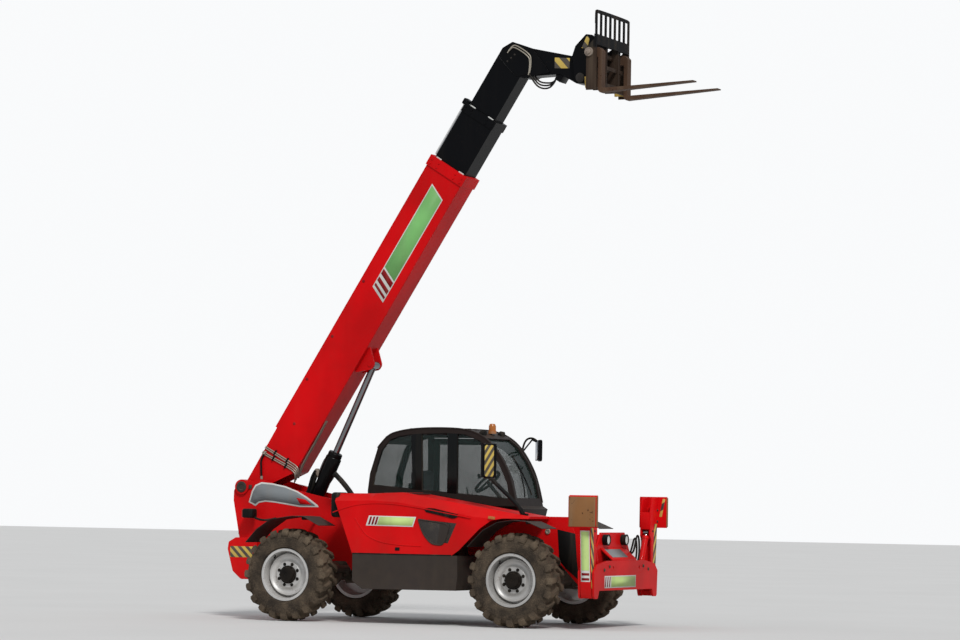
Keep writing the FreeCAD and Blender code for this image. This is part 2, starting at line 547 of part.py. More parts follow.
def make_stabilisers():
    """Stabiliser legs hinged at the front beam's ends, folded up, and their cylinders."""
    for sign, hand in SIDES:
        label = f"stabiliser_{hand}"
        frame = ("rear_axle_x + stab_x", f"{sign}*stab_y", "stab_z", Vector(0, 0, 1), "0")
        # outwards from the pivot, up from the pivot
        arm = [
            (-62, 0), (-40, -50), (40, -50), (70, 0), (120, 700), (125, 850), (160, 900), (160, "stab_reach + 130"),
            (110, "stab_reach + 130"), (60, "stab_reach"), (20, 830), (-60, 800), (-100, 770), (-100, 700), (-60, 640),
        ]
        hole = ("circle", 0, 0, "stab_pin_radius + run_gap")
        leg = pad(label + "_leg", "front", [turn_side(arm, sign), hole], "-stab_arm_half", "stab_arm_half", frame)
        tunnel = turn_side([(-130, -100), (-18, -100), (10, 845), (-130, 845)], sign)
        slot = pad(label + "_slot", "front", [tunnel], "-stab_barrel_radius - 12", "stab_barrel_radius + 12", frame)
        sole = [(160, 800), (190, 800), (215, 830), (215, 1160), (190, 1190), (160, 1190)]
        foot = pad(label + "_foot", "front", [turn_side(sole, sign)], "-180", "180", frame)
        eye = ("circle", f"{sign}*(stab_eye_y - stab_y)", "stab_eye_z - stab_z", "stab_pin_radius - 4")
        pins = [
            pad(f"{label}_eye_pin_back", "front", [eye], "-stab_arm_half", "-stab_eye_half - 5", frame),
            pad(f"{label}_eye_pin_front", "front", [eye], "stab_eye_half + 5", "stab_arm_half", frame),
        ]
        node(label, join(label, [cut(label + "_cut", leg, slot), foot] + pins))
        rise = "atan2(stab_eye_z - stab_base_z; stab_eye_y - stab_base_y)"
        length = "sqrt(pow(stab_eye_y - stab_base_y; 2) + pow(stab_eye_z - stab_base_z; 2))"
        lean = rise if sign > 0 else f"180 deg - {rise}"
        frame = ("rear_axle_x + stab_x", f"{sign}*stab_base_y", "stab_base_z", Vector(1, 0, 0), lean)
        make_cylinder(f"stabiliser_{hand}", "stab", length, frame, "front")


def turn_side(outline, sign):
    """Turn an outline over to the other side of the machine."""
    return [(sign * corner[0], *corner[1:]) for corner in outline]


def make_cylinder(label, size, length, frame, plane):
    """Make a cylinder's barrel and rod, lying along +X of a side frame or +Y of a front one."""
    eye = ("circle", 0, 0, f"{size}_eye_radius")
    bore = ("circle", 0, 0, f"{size}_pin_radius + run_gap")
    tube = [
        (f"{size}_eye_radius - 8", 0), (f"{size}_eye_radius - 8", f"{size}_barrel_radius"),
        (f"{size}_barrel_length - 40", f"{size}_barrel_radius"), (f"{size}_barrel_length - 40", f"{size}_barrel_radius + 6"),
        (f"{size}_barrel_length", f"{size}_barrel_radius + 6"), (f"{size}_barrel_length", f"{size}_rod_radius + run_gap"),
        (f"{size}_barrel_length - 50", f"{size}_rod_radius + run_gap"),
        (f"{size}_barrel_length - 50", f"{size}_barrel_radius - 10"), (f"{size}_eye_radius + 5", f"{size}_barrel_radius - 10"),
        (f"{size}_eye_radius + 5", 0),
    ]
    barrel = turned(f"{label}_barrel_tube", plane, tube, frame)
    lug = pad(f"{label}_barrel_eye", plane, [eye], f"-{size}_eye_half", f"{size}_eye_half", frame)
    hole = pad(f"{label}_barrel_bore", plane, [bore], f"-{size}_barrel_radius - 10", f"{size}_barrel_radius + 10", frame)
    node(f"{label}_barrel", cut(f"{label}_barrel", join(f"{label}_barrel_joined", [barrel, lug]), hole))
    shaft = [
        (f"{length} - {size}_rod_length", 0), (f"{length} - {size}_rod_length", f"{size}_barrel_radius - 11"),
        (f"{length} - {size}_rod_length + 30", f"{size}_barrel_radius - 11"),
        (f"{length} - {size}_rod_length + 30", f"{size}_rod_radius"), (f"{length} - {size}_eye_radius + 10", f"{size}_rod_radius"),
        (f"{length} - {size}_eye_radius + 10", 0),
    ]
    rod = turned(f"{label}_rod_shaft", plane, shaft, frame)
    lug = pad(f"{label}_rod_eye", plane, [("circle", length, 0, f"{size}_eye_radius")], f"-{size}_eye_half", f"{size}_eye_half", frame)
    hole = pad(f"{label}_rod_bore", plane, [("circle", length, 0, f"{size}_pin_radius + run_gap")],
               f"-{size}_eye_half - 10", f"{size}_eye_half + 10", frame)
    node(f"{label}_rod", cut(f"{label}_rod", join(f"{label}_rod_joined", [rod, lug]), hole))


def make_boom():
    """Three telescoping sections, the lift cylinder and the boom nose."""
    # along the boom from its pivot, above the pivot line
    outer = [
        (-110, -60, 40), (-110, 60, 40), (860, 70), (860, "outer_top"), ("outer_end", "outer_top"),
        ("outer_end", "outer_bottom"), (520, "outer_bottom", 60), (60, -150),
    ]
    hollow = [
        (190, "inner_bottom + 50"), (190, "70 - boom_wall"), (870, "70 - boom_wall"), (870, "outer_top - boom_wall"), ("outer_end + 9", "outer_top - boom_wall"),
        ("outer_end + 9", "outer_bottom + boom_wall"), (570, "outer_bottom + boom_wall"),
    ]
    pin_hole = ("circle", 0, 0, "pivot_pin_radius + run_gap")
    shell = pad("outer_shell", "side", [outer, pin_hole], "-boom_half", "boom_half", BOOM)
    room = pad("outer_room", "side", [hollow], "-boom_half + boom_wall", "boom_half - boom_wall", BOOM)
    collar = ring("outer_collar", "outer_end - 140", "outer_end", "boom_half + 14", "outer_top + 14", "outer_bottom - 14",
                  "mid_half + seat_gap", "mid_top + seat_gap", "mid_bottom - seat_gap", BOOM)
    ear = [
        (-190, "outer_bottom - lift_eye_down"), (-50, -38), (-22, -52), (22, -52), (50, -38), (190, "outer_bottom - lift_eye_down"),
    ]
    ear = [(f"lift_eye_along + {corner[0]}", f"lift_eye_down + {corner[1]}") for corner in ear]
    ears = []
    for sign, hand in SIDES:
        low, high = mirrored(sign, "lift_eye_half + lift_side_gap", "lift_eye_half + lift_side_gap + ear_plate")
        ears.append(pad(f"lift_ear_{hand}", "side", [ear], low, high, BOOM))
        low, high = mirrored(sign, "lift_eye_half + 5", "lift_eye_half + lift_side_gap + ear_plate + 8")
        stub = ("circle", "lift_eye_along", "lift_eye_down", "lift_pin_radius")
        ears.append(pad(f"lift_stub_{hand}", "side", [stub], low, high, BOOM))
    node("boom_outer", join("boom_outer", [cut("outer_hollow", shell, room), collar] + ears))
    mid = tube_section("mid", "mid_start", "mid_end", "mid_half", "mid_top", "mid_bottom")
    collar = ring("mid_collar", "mid_end - 110", "mid_end", "mid_half + 12", "mid_top + 12", "mid_bottom - 12",
                  "inner_half + seat_gap", "inner_top + seat_gap", "inner_bottom - seat_gap", BOOM)
    node("boom_mid", join("boom_mid", [mid, collar]))
    node("boom_inner", tube_section("inner", "inner_start", "inner_end", "inner_half", "inner_top", "inner_bottom"))
    # along the boom from its pivot, above the pivot line
    elbow = [
        ("inner_end + seat_gap", "inner_top"), (6540, "inner_top"), (6672, -55, 30), (6735, -330), (6600, -700), (6446, -527, 40),
        (6390, -490, 30), ("inner_end + seat_gap", "inner_bottom"),
    ]
    nose = [
        (6480, -100), (6700, -180), (6735, -330), (6925, -852, 12), ("tilt_along + 100", -893),
        ("tilt_along + 68", "tilt_down - 60", 25), ("tilt_along - 45", "tilt_down - 66", 25), ("tilt_along - 95", "tilt_down + 40"),
        (6651, -829), (6446, -527), (6400, -400),
    ]
    elbow_box = pad("nose_elbow", "side", [elbow], "-inner_half", "inner_half", BOOM)
    hole = ("circle", "tilt_along", "tilt_down", "tilt_pin_radius + run_gap")
    nose_box = pad("nose_box", "side", [nose, hole], "-head_half", "head_half", BOOM)
    node("boom_nose", join("boom_nose", [elbow_box, nose_box]))
    pin = [("circle", "pivot_x", "pivot_z", "pivot_pin_radius")]
    node("boom_pivot_pin", pad("boom_pivot_pin", "side", [pin[0]], "-chassis_half - side_wall - 32", "chassis_half + side_wall + 32"))
    eye_x = "pivot_x + lift_eye_along*cos(boom_angle) - lift_eye_down*sin(boom_angle)"
    eye_z = "pivot_z + lift_eye_along*sin(boom_angle) + lift_eye_down*cos(boom_angle)"
    lift_x, lift_z = f"({eye_x} - lift_base_x)", f"({eye_z} - lift_base_z)"
    length = f"sqrt(pow({lift_x}; 2) + pow({lift_z}; 2))"
    frame = ("rear_axle_x + lift_base_x", "0", "lift_base_z", Vector(0, 1, 0), f"-atan2({lift_z}; {lift_x})")
    make_cylinder("lift", "lift", length, frame, "side")


def ring(name, back, front, half, top, bottom, hole_half, hole_top, hole_bottom, frame):
    """Make a rectangular collar round a boom section."""
    body = block(name + "_block", (back, f"-({half})", bottom), (front, half, top), frame)
    hole = block(name + "_hole", (f"{back} - 10", f"-({hole_half})", hole_bottom), (f"{front} + 10", hole_half, hole_top), frame)
    return cut(name, body, hole)


def tube_section(name, start, end, half, top, bottom):
    """Make a hollow rectangular boom section."""
    return ring(name + "_section", start, end, half, top, bottom, f"{half} - boom_wall", f"{top} - boom_wall",
                f"{bottom} + boom_wall", BOOM)


TILT_X = "rear_axle_x + pivot_x + tilt_along*cos(boom_angle) - tilt_down*sin(boom_angle)"
TILT_Z = "pivot_z + tilt_along*sin(boom_angle) + tilt_down*cos(boom_angle)"
CARRIAGE = (TILT_X, "0", TILT_Z, Vector(0, 1, 0), "0")


def make_carriage():
    """Quick hitch, fork frame with its backrest, and two forks, drawn from the carriage pivot."""
    node("carriage_pin", pad("carriage_pin", "side", [("circle", 0, 0, "tilt_pin_radius")],
                             "-hitch_half - 12", "hitch_half + 12", CARRIAGE))
    # forwards from the pivot, up from the pivot
    plate = [
        (-62, -62, 40), (90, -81), (200, -70), (215, -40), (215, 470), (150, 530, 20), (68, 542, 20), (-74, 399, 30),
        (-118, 267, 20), (-93, 150), (-80, 0),
    ]
    hole = ("circle", 0, 0, "tilt_pin_radius + run_gap")
    pieces = []
    for sign, hand in SIDES:
        low, high = mirrored(sign, "hitch_half - hitch_plate", "hitch_half")
        pieces.append(pad(f"hitch_plate_{hand}", "side", [plate, hole], low, high, CARRIAGE))
    for name, at_x, at_z, radius in (("top", 198, 436, 16), ("bottom", 160, -30, 30), ("middle", 230, 120, 18)):
        pieces.append(pad(f"hitch_bar_{name}", "side", [("circle", at_x, at_z, radius)], "-hitch_half + 5", "hitch_half - 5", CARRIAGE))
    node("quick_hitch", join("quick_hitch", pieces))
    front = "fork_back - seat_gap"
    rails = (
        ("lower_rail", f"{front} - 40", -165, front, -85, "frame_half"),
        ("base_rail", f"{front} - 30", "backrest_base", front, "backrest_base + 130", "frame_half"),
        ("top_rail", f"{front} - 20", "backrest_top - 28", front, "backrest_top", "frame_half"),
    )
    pieces = [
        block(name, (back, f"-{half}", low), (ahead, half, high), CARRIAGE)
        for name, back, low, ahead, high, half in rails
    ]
    post = [
        (225, -200), (front, -200), (front, "backrest_base + 60"), (f"{front} - 40", "backrest_base + 60"), (225, "fork_shaft_up + 55"),
    ]
    for sign, hand in SIDES:
        low, high = mirrored(sign, "frame_half - 25", "frame_half")
        pieces.append(pad(f"frame_post_{hand}", "side", [post], low, high, CARRIAGE))
        low, high = mirrored(sign, "hitch_half + seat_gap", "hitch_half + 26")
        inner = [(180, -165), (front, -165), (front, "backrest_base + 60"), (f"{front} - 40", "backrest_base + 60"), (180, 330)]
        pieces.append(pad(f"frame_inner_{hand}", "side", [inner], low, high, CARRIAGE))
    shaft = ("circle", "fork_shaft_ahead", "fork_shaft_up", "fork_shaft_radius")
    pieces.append(pad("fork_shaft", "side", [shaft], "-frame_half - 12", "frame_half + 12", CARRIAGE))
    count = int(number("backrest_bars"))
    for index in range(count):
        middle = f"-frame_half + bar_width/2 + (2*frame_half - bar_width)*{index}/(backrest_bars - 1)"
        low, high = (f"{middle} - bar_width/2", f"{middle} + bar_width/2")
        pieces.append(block(f"backrest_bar_{index}", (f"{front} - 20", low, "backrest_base + 60"), (front, high, "backrest_top - 10"),
                            CARRIAGE))
    node("fork_frame", join("fork_frame", pieces))
    pitch = "tan(fork_pitch)"
    heel = [
        ("fork_back", "fork_heel + 90"), ("fork_back", "fork_heel + 30", 29), ("fork_back + 30", "fork_heel"),
        ("fork_back + fork_length + fork_thick", f"fork_heel + fork_length*{pitch} + 22"),
        ("fork_back + fork_length + fork_thick", f"fork_heel + fork_length*{pitch} + 36"),
        ("fork_back + fork_thick", f"fork_heel + fork_thick + fork_thick*{pitch}", 20),
        ("fork_back + fork_thick", "fork_shaft_up + 20", 20), ("fork_back + 10", "fork_shaft_up + 62", 20),
        ("fork_shaft_ahead - 50", "fork_shaft_up + 62", 30), ("fork_shaft_ahead - 50", "fork_shaft_up - 50", 30),
        ("fork_back", "fork_shaft_up - 60"),
    ]
    hole = ("circle", "fork_shaft_ahead", "fork_shaft_up", "fork_shaft_radius + run_gap")
    for sign, hand in SIDES:
        low, high = mirrored(sign, "fork_y - fork_width/2", "fork_y + fork_width/2")
        node(f"fork_{hand}", pad(f"fork_{hand}", "side", [heel, hole], low, high, CARRIAGE))


def inset(outline, wall):
    """Move every side of a closed outline inwards by a wall, or outwards by a negative one."""
    spots = [(number(corner[0]), number(corner[1])) for corner in outline]
    area = sum(a[0] * b[1] - b[0] * a[1] for a, b in zip(spots, spots[1:] + spots[:1]))
    inward = wall if area > 0 else -wall
    moved = []
    for before, here, after in zip(spots[-1:] + spots[:-1], spots, spots[1:] + spots[:1]):
        first = unit(before, here)
        second = unit(here, after)
        turn = 1 + first[0] * second[0] + first[1] * second[1]
        shift = inward / turn
        moved.append((here[0] - (first[1] + second[1]) * shift, here[1] + (first[0] + second[0]) * shift))
    return moved


def unit(start, end):
    """Give the direction from one spot to another."""
    reach = math.dist(start, end)
    return ((end[0] - start[0]) / reach, (end[1] - start[1]) / reach)


def band(spots, wall):
    """Close a bent strip of even thickness over a line of spots."""
    under = []
    for index, here in enumerate(spots):
        first = unit(spots[max(index - 1, 0)], spots[max(index, 1)])
        second = unit(spots[min(index, len(spots) - 2)], spots[min(index + 1, len(spots) - 1)])
        shift = wall / (1 + first[0] * second[0] + first[1] * second[1])
        under.append((here[0] + (first[1] + second[1]) * shift, here[1] - (first[0] + second[0]) * shift))
    return list(spots) + under[::-1]


def lofted(name, plane, sections, frame=MACHINE):
    """Make a body by joining outlines at several stations with flat sides."""
    station, outline = sections[0]
    body, sketch = new_body(name, plane, [outline], station, frame)
    others = []
    for index, (station, outline) in enumerate(sections[1:], 1):
        other = body.newObject("Sketcher::SketchObject", f"{name}_station_{index}")
        other.AttachmentSupport = sketch.AttachmentSupport
        other.MapMode = "FlatFace"
        other.setExpression("AttachmentOffset.Base.z", bound(station))
        draw_loop(other, outline)
        others.append(other)
    feature = body.newObject("PartDesign::AdditiveLoft", name + "_loft")
    feature.Profile = sketch
    feature.Sections = others
    feature.Ruled = True
    body.Tip = feature
    return body


def bar(name, start, end, radius):
    """Make a round bar between two points of the machine."""
    first, last = (Vector(*[number(value) for value in point]) for point in (start, end))
    reach = last - first
    turn = FreeCAD.Rotation(Vector(0, 0, 1), reach)
    frame = (f"rear_axle_x + {start[0]}", str(start[1]), str(start[2]), turn.Axis, str(math.degrees(turn.Angle)))
    return pad(name, "plan", [("circle", 0, 0, radius)], "0", str(reach.Length), frame)


# The cab seen from the side: distance from the rear axle, height
CAB_OUTLINE = [
    (425, 1643), (452, 1861), (556, 2187), (673, 2341), (850, 2405), (1128, 2442), (1502, 2449), (1797, 2433), (2012, 2359),
    (2169, 2235), (2310, 2042), (2430, 1795), (2500, 1480), (2565, 1440), (2520, 1280), (2345, 1200), (2330, "cab_floor"),
    (745, "cab_floor"), (745, 1180), (560, 1345), (440, 1345),
]
DOOR_OUTLINE = [
    (960, "cab_floor + 60"), (960, 2335), (1800, 2335), (1985, 2262), (2120, 2150), (2240, 1980), (2350, 1745), (2412, 1470),
    (2330, 1290), (2250, 1210), (2235, "cab_floor + 60"),
]
DOOR_WINDOW = [
    (1035, 1340), (1035, 2262), (1785, 2262), (1940, 2198), (2060, 2098), (2172, 1940), (2278, 1712), (2330, 1470), (2270, 1340),
]
REAR_PANE = [(495, 1714), (516, 1850), (612, 2155), (712, 2290), (868, 2345), (1030, 2366), (1060, 1669)]
MID_PANE = [(1190, 1659), (1170, 2376), (1540, 2384), (1545, 1630)]
FRONT_PANE = [(1680, 1620), (1672, 2380), (1785, 2370), (1980, 2298), (2125, 2183), (2258, 2003), (2372, 1762), (2408, 1562)]
DOOR_QUARTER = [(495, 1560), (516, 1850), (612, 2155), (712, 2290), (880, 2340), (900, 1560)]
SCREEN_CUT = [(1850, 1600), (2650, 1570), (2650, 2150), (2350, 2500), (2150, 2440), (1950, 2200)]
BACK_CUT = [(330, 1700), (700, 1700), (760, 2150), (720, 2210), (500, 2320), (330, 2000)]


def make_cab():
    """Cab shell with its windows cut, glass, door, seat, steering wheel and console."""
    low_step = "pivot_z - 194"
    shell = pad("cab_shell", "side", [CAB_OUTLINE], "cab_inner", "cab_outer")
    notch = block("cab_notch", (300, "cab_inner - 10", 700), (2700, "cab_low_inner", low_step))
    wall = number("cab_wall")
    room = pad("cab_room", "side", [inset(CAB_OUTLINE, wall)], "cab_inner + cab_wall", "cab_outer - cab_wall")
    room_notch = block("cab_room_notch", (300, "cab_inner", 700), (2700, "cab_low_inner + cab_wall", f"{low_step} + cab_wall"))
    right = ("cab_inner - 10", "cab_inner + cab_wall + 10")
    left = ("cab_outer - cab_wall - 10", "cab_outer + 10")
    across = ("cab_inner + 75", "cab_outer - 75")
    # name, outline, extent across the machine
    windows = (
        ("rear_pane", REAR_PANE, right), ("mid_pane", MID_PANE, right), ("front_pane", FRONT_PANE, right),
        ("quarter_pane", DOOR_QUARTER, left), ("screen", SCREEN_CUT, across), ("back_window", BACK_CUT, across),
    )
    holes = [pad(f"cut_{name}", "side", [outline], *extent) for name, outline, extent in windows]
    holes.append(pad("door_opening", "side", [inset(DOOR_OUTLINE, -number("door_gap"))], *left))
    hinge = ("circle", "948", "cab_outer + 18", "9")
    pins = []
    for index, height in enumerate((1130, 2080)):
        pins.append(pad(f"hinge_pin_{index}", "plan", [hinge], str(height - 30), str(height + 75)))
        pins.append(block(f"hinge_leaf_{index}", (890, "cab_outer - 5", height - 30), (957, "cab_outer + 27", height - 5)))
    body = cut("cab_walls", cut("cab_notched", shell, notch), [cut("cab_inside", room, room_notch)] + holes)
    node("cab_frame", join("cab_frame", [body] + pins))
    middle = wall / 2
    glass = number("glass")
    gap = number("seat_gap")
    panes = [
        pad(f"glass_{name}", "side", [inset(outline, gap)], "cab_inner + 20", "cab_inner + 20 + glass")
        for name, outline, extent in windows[:3]
    ]
    panes.append(pad("glass_quarter", "side", [inset(DOOR_QUARTER, gap)], "cab_outer - 26", "cab_outer - 26 + glass"))
    skin = cut("glass_skin",
               pad("glass_outer", "side", [inset(CAB_OUTLINE, middle)], "cab_inner + 75 + seat_gap", "cab_outer - 75 - seat_gap"),
               pad("glass_inner", "side", [inset(CAB_OUTLINE, middle + glass)], "cab_inner", "cab_outer"))
    ends = join("glass_ends", [
        pad("glass_screen", "side", [inset(SCREEN_CUT, gap)], "cab_inner", "cab_outer"),
        pad("glass_back", "side", [inset(BACK_CUT, gap)], "cab_inner", "cab_outer"),
    ])
    panes.append(common("glass_curved", skin, ends))
    node("cab_glass", join("cab_glass", panes))
    leaf = pad("door_leaf", "side", [DOOR_OUTLINE, DOOR_WINDOW], "cab_outer - door_wall", "cab_outer")
    sleeves = []
    for index, height in enumerate((1130, 2080)):
        ring_loop = [("circle", "948", "cab_outer + 18", "14"), ("circle", "948", "cab_outer + 18", "9 + run_gap")]
        sleeves.append(pad(f"hinge_sleeve_{index}", "plan", ring_loop, str(height), str(height + 70)))
        sleeves.append(block(f"hinge_tongue_{index}", (960.5, "cab_outer - 5", height), (1010, "cab_outer + 22", height + 70)))
    handle = block("door_handle", (2080, "cab_outer - 5", 1160), (2200, "cab_outer + 25", 1190))
    node("cab_door", join("cab_door", [leaf, handle] + sleeves))
    node("door_glass", pad("door_glass", "side", [inset(DOOR_WINDOW, gap)], "cab_outer - 23", "cab_outer - 23 + glass"))
    floor = "cab_floor + cab_wall + seat_gap"
    base = [
        (960, floor), (1380, floor), (1340, 1230), ("930 - seat_gap", 1230), ("930 - seat_gap", 1375),
        ("912 - seat_gap", 1745), (888, 1745), (898, 1230), (940, 1180),
    ]
    node("seat_base", pad("seat_base", "side", [base], "520", "900"))
    cushion = [(930, 1230.3), (1440, 1230.3), (1465, 1290, 30), (1440, 1360, 30), (930, 1345, 30)]
    back = [(930, 1375), (1090, 1365), (1085, 1900, 30), (1050, 1945, 20), (985, 1945, 20), (905, 1890, 20)]
    pads = [pad("seat_cushion_pad", "side", [cushion], "470", "950"), pad("seat_back_pad", "side", [back], "480", "940")]
    node("seat_pads", join("seat_pads", pads))
    console = [(2030, floor), (2270, floor), (2290, 1230, 40), (2440, 1330), (2430, 1500), (2300, 1560, 40), (2120, 1500, 40)]
    console_body = pad("console_body", "side", [console], "440", "cab_outer - cab_wall - 120")
    column = bar("steering_column", (2190, 690, 1480), (1925, 690, 1772), 22)
    wheel_frame = ("rear_axle_x + 1920", "690", "1778", Vector(0, 1, 0), "-42")
    wheel = turned("steering_wheel_rim", "side", [(170, -14), (198, -14), (198, 14), (170, 14)], wheel_frame, "V_Axis")
    spokes = block("steering_spokes", (-180, -18, -8), (180, 18, 8), wheel_frame)
    node("console", join("console", [console_body, column, wheel, spokes]))


def make_bodywork():
    """Engine cover, skirt, engine, tank with steps, fenders, mirrors and lamps."""
    # distance from the rear axle, top edge, crease and lower edge heights
    stations = ((560, 1600, 1500, 840), (1118, 1605, 1515, 840), (1500, 1622, 1500, 840), (2418, 1476, 1352, 840), (3240, 1350, 1262, 840))
    shells = []
    for name, wall, reach in (("hood_outer", 0, 0), ("hood_inside", "hood_wall", 20)):
        sections = []
        for station, top, crease, low in stations:
            sections.append((str(station), [
                (f"-hood_inner - {wall}", low - reach), (f"-hood_inner - {wall}", f"{top} - {wall}"), (f"-skirt_half + 190 + 0.4*{wall}", f"{top} - {wall}"),
                (f"-skirt_half + 42 + {wall}", f"{crease} - 0.4*{wall}"), (f"-skirt_half + {wall}", low - reach),
            ]))
        shells.append(lofted(name, "front", sections))
    outline = [
        (604, 1600), (580, 1700), (3225, 1700), (3225, 1322), (2900, 1322), (2760, 1290), (2620, 1190), (2356, 922), (2263, "skirt_top"),
        (911, "skirt_top"),
    ]
    inside = [(620, 1590), (610, 1700), (2680, 1700), (2680, 1225), (2610, 1172), (2350, 905), (2272, 800), (935, 800), (924, 855)]
    hood = common("hood_trimmed", shells[0], pad("hood_side", "side", [outline], "-1300", "-200"))
    hollow = common("hood_hollow", shells[1], pad("hood_hollow_side", "side", [inside], "-1300", "-200"))
    # vent outline, distance from the rear axle and height
    mesh_vent = [(1849, 1293), (2310, 1252), (2207, 1005), (1976, 1037)]
    slot_vent = [(1915, 1436), (2000, 1430), (2443, 1340), (2425, 1322), (2000, 1398), (1930, 1414)]
    slots = [
        pad("mesh_vent", "side", [mesh_vent], "-skirt_half - 160", "-skirt_half + 140"),
        pad("slot_vent", "side", [slot_vent], "-skirt_half - 160", "-skirt_half + 140"),
    ]
    node("engine_hood", cut("engine_hood", hood, [hollow] + slots))
    grille = pad("grille_plate", "side", [inset(mesh_vent, number("seat_gap"))], "-skirt_half + 34", "-skirt_half + 44")
    node("hood_grille", grille)
    skirt = [
        (915, "skirt_top - seat_gap"), (917, 520), (1057, 424), ("wheelbase - 745", 431), ("wheelbase - 725", 600), ("wheelbase - 730", "skirt_top - seat_gap"),
    ]
    node("side_skirt", pad("side_skirt", "side", [skirt], "-skirt_half + 4", "-chassis_half - side_wall - seat_gap"))
    node("engine_block", block("engine_block", (1150, "-skirt_half + 180", "skirt_top"), (2150, "-hood_inner - 20", 1380)))
    tank = [(950, "cab_floor - seat_gap"), (950, 560), (1060, 440), ("wheelbase - 830", 440), ("wheelbase - 770", 520), ("wheelbase - 770", "cab_floor - seat_gap")]
    tank_body = pad("tank_body", "side", [tank], "chassis_half + side_wall + seat_gap", "skirt_half")
    steps = [
        block("step_low", (1250, "skirt_half - 200", 480), (1750, "skirt_half + 10", 620)),
        block("step_high", (1250, "skirt_half - 130", 650), (1750, "skirt_half + 10", "cab_floor")),
    ]
    node("fuel_tank", cut("fuel_tank", tank_body, steps))
    # from the hub: forwards, up
    shapes = {
        "rear": [(-572, 395), (-420, 560), (-229, 690), (76, 735), (238, 730), (454, 622)],
        "front": [(-594, 395), (-511, 482), (-383, 605), (-198, 703), (9, 732), (195, 718), (400, 636)],
    }
    fenders = []
    for end, axle, lead in ENDS:
        frame = (f"rear_axle_x + {axle}", "0", "tyre_radius", Vector(0, 0, 1), "0")
        for sign, hand in SIDES:
            low, high = mirrored(sign, "fender_inner", "fender_outer")
            sheet_metal = pad(f"fender_sheet_{end}_{hand}", "side", [band(shapes[end], number("fender_wall"))], low, high, frame)
            low, high = mirrored(sign, "chassis_half + side_wall + seat_gap", "fender_inner + 60")
            stay = pad(f"fender_stay_{end}_{hand}", "side", [("circle", 30, "700", 18)], low, high, frame)
            low, high = mirrored(sign, "fender_inner", "fender_inner + 60")
            foot = block(f"fender_foot_{end}_{hand}", (10, low, 700), (50, high, 728), frame)
            fenders.append(join(f"fender_{end}_{hand}", [sheet_metal, stay, foot]))
    node("fenders", join("fenders", fenders))


def make_fittings():
    """Mirrors on their arms, head, tail and side lamps, and the beacon on the cab."""
    foot = [(3095, "1372.2 + seat_gap"), (3165, "1361.5 + seat_gap"), (3165, 1388), (3095, 1388)]
    right = [
        pad("mirror_foot_right", "side", [foot], "-935", "-865"),
        bar("mirror_arm_right_low", (3130, -900, 1380), (3052, -930, 1500), 11),
        bar("mirror_arm_right_high", (3054, -930, 1494), (2672, -960, 1845), 11),
        block("mirror_right", (-20, -100, 0), (20, 100, 410), ("rear_axle_x + 2665", "-965", "1820", Vector(0, 0, 1), "-35")),
    ]
    left = [
        block("mirror_foot_left", (2160, "cab_outer + seat_gap", 2115), (2190, "cab_outer + 16", 2175)),
        bar("mirror_arm_left", (2175, "cab_outer + 14", 2145), (2330, "cab_outer + 14", 2330), 10),
        bar("mirror_arm_left_high", (2325, "cab_outer + 14", 2326), (2440, 1118, 2290), 10),
        block("mirror_left", (-18, -85, 0), (18, 85, 260), ("rear_axle_x + 2440", "1105", "2060", Vector(0, 0, 1), "35")),
    ]
    node("mirrors", join("mirrors", [join("mirror_set_right", right), join("mirror_set_left", left)]))
    lamps = []
    for sign, hand in SIDES:
        front = "beam_back + stab_plate + seat_gap"
        lens = ("circle", f"{sign}*lamp_y", "lamp_z", "lamp_radius")
        lamps.append(pad(f"head_lamp_{hand}", "front", [lens], front, f"{front} + 60"))
        low, high = mirrored(sign, "chassis_half + side_wall + seat_gap", "540")
        lamps.append(block(f"tail_bracket_{hand}", (-890, low, 1300), (-860, high, 1345)))
        low, high = mirrored(sign, "430", "560")
        lamps.append(block(f"tail_lamp_{hand}", (-950, low, 1275), (-889, high, 1370)))
    base = pad("beacon_base", "plan", [("circle", 1950, 750, 52)], "2392", "2432")
    roof_cut = pad("beacon_under", "side", [CAB_OUTLINE], "cab_inner", "cab_outer")
    dome = turned("beacon_dome", "side", [(0, 20), (46, 20), (46, 85), (34, 112), (0, 118)],
                  ("rear_axle_x + 1950", "750", "2405", Vector(0, 0, 1), "0"), "V_Axis")
    lamps.append(cut("beacon", join("beacon_joined", [base, dome]), roof_cut))
    node("lamps", join("lamps", lamps))


def write_parts():
    """Check every object and write each sub-part to a file of its own."""
    doc.recompute()
    failed = [item.Name for item in doc.Objects if "Invalid" in item.State or "Error" in item.State]
    if failed:
        raise RuntimeError("failed: " + ", ".join(failed))
    os.makedirs("parts", exist_ok=True)
    for item in nodes:
        if item.Shape.isNull() or not item.Shape.isValid():
            raise RuntimeError("bad shape: " + item.Label)
        item.Shape.exportStep(f"parts/{item.Label}.step")
    print(len(nodes), "sub-parts")


fill_sheet()
make_wheels()
make_axles()
make_chassis()
make_stabilisers()
make_boom()
make_carriage()
make_cab()
make_bodywork()
make_fittings()
write_parts()
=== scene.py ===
"""Finishes and trim of the telehandler, in a plain studio."""

import json
import logging
import math
from collections.abc import Callable
from dataclasses import dataclass, field
from enum import Enum

import bmesh
import bpy
from mathutils import Matrix, Vector

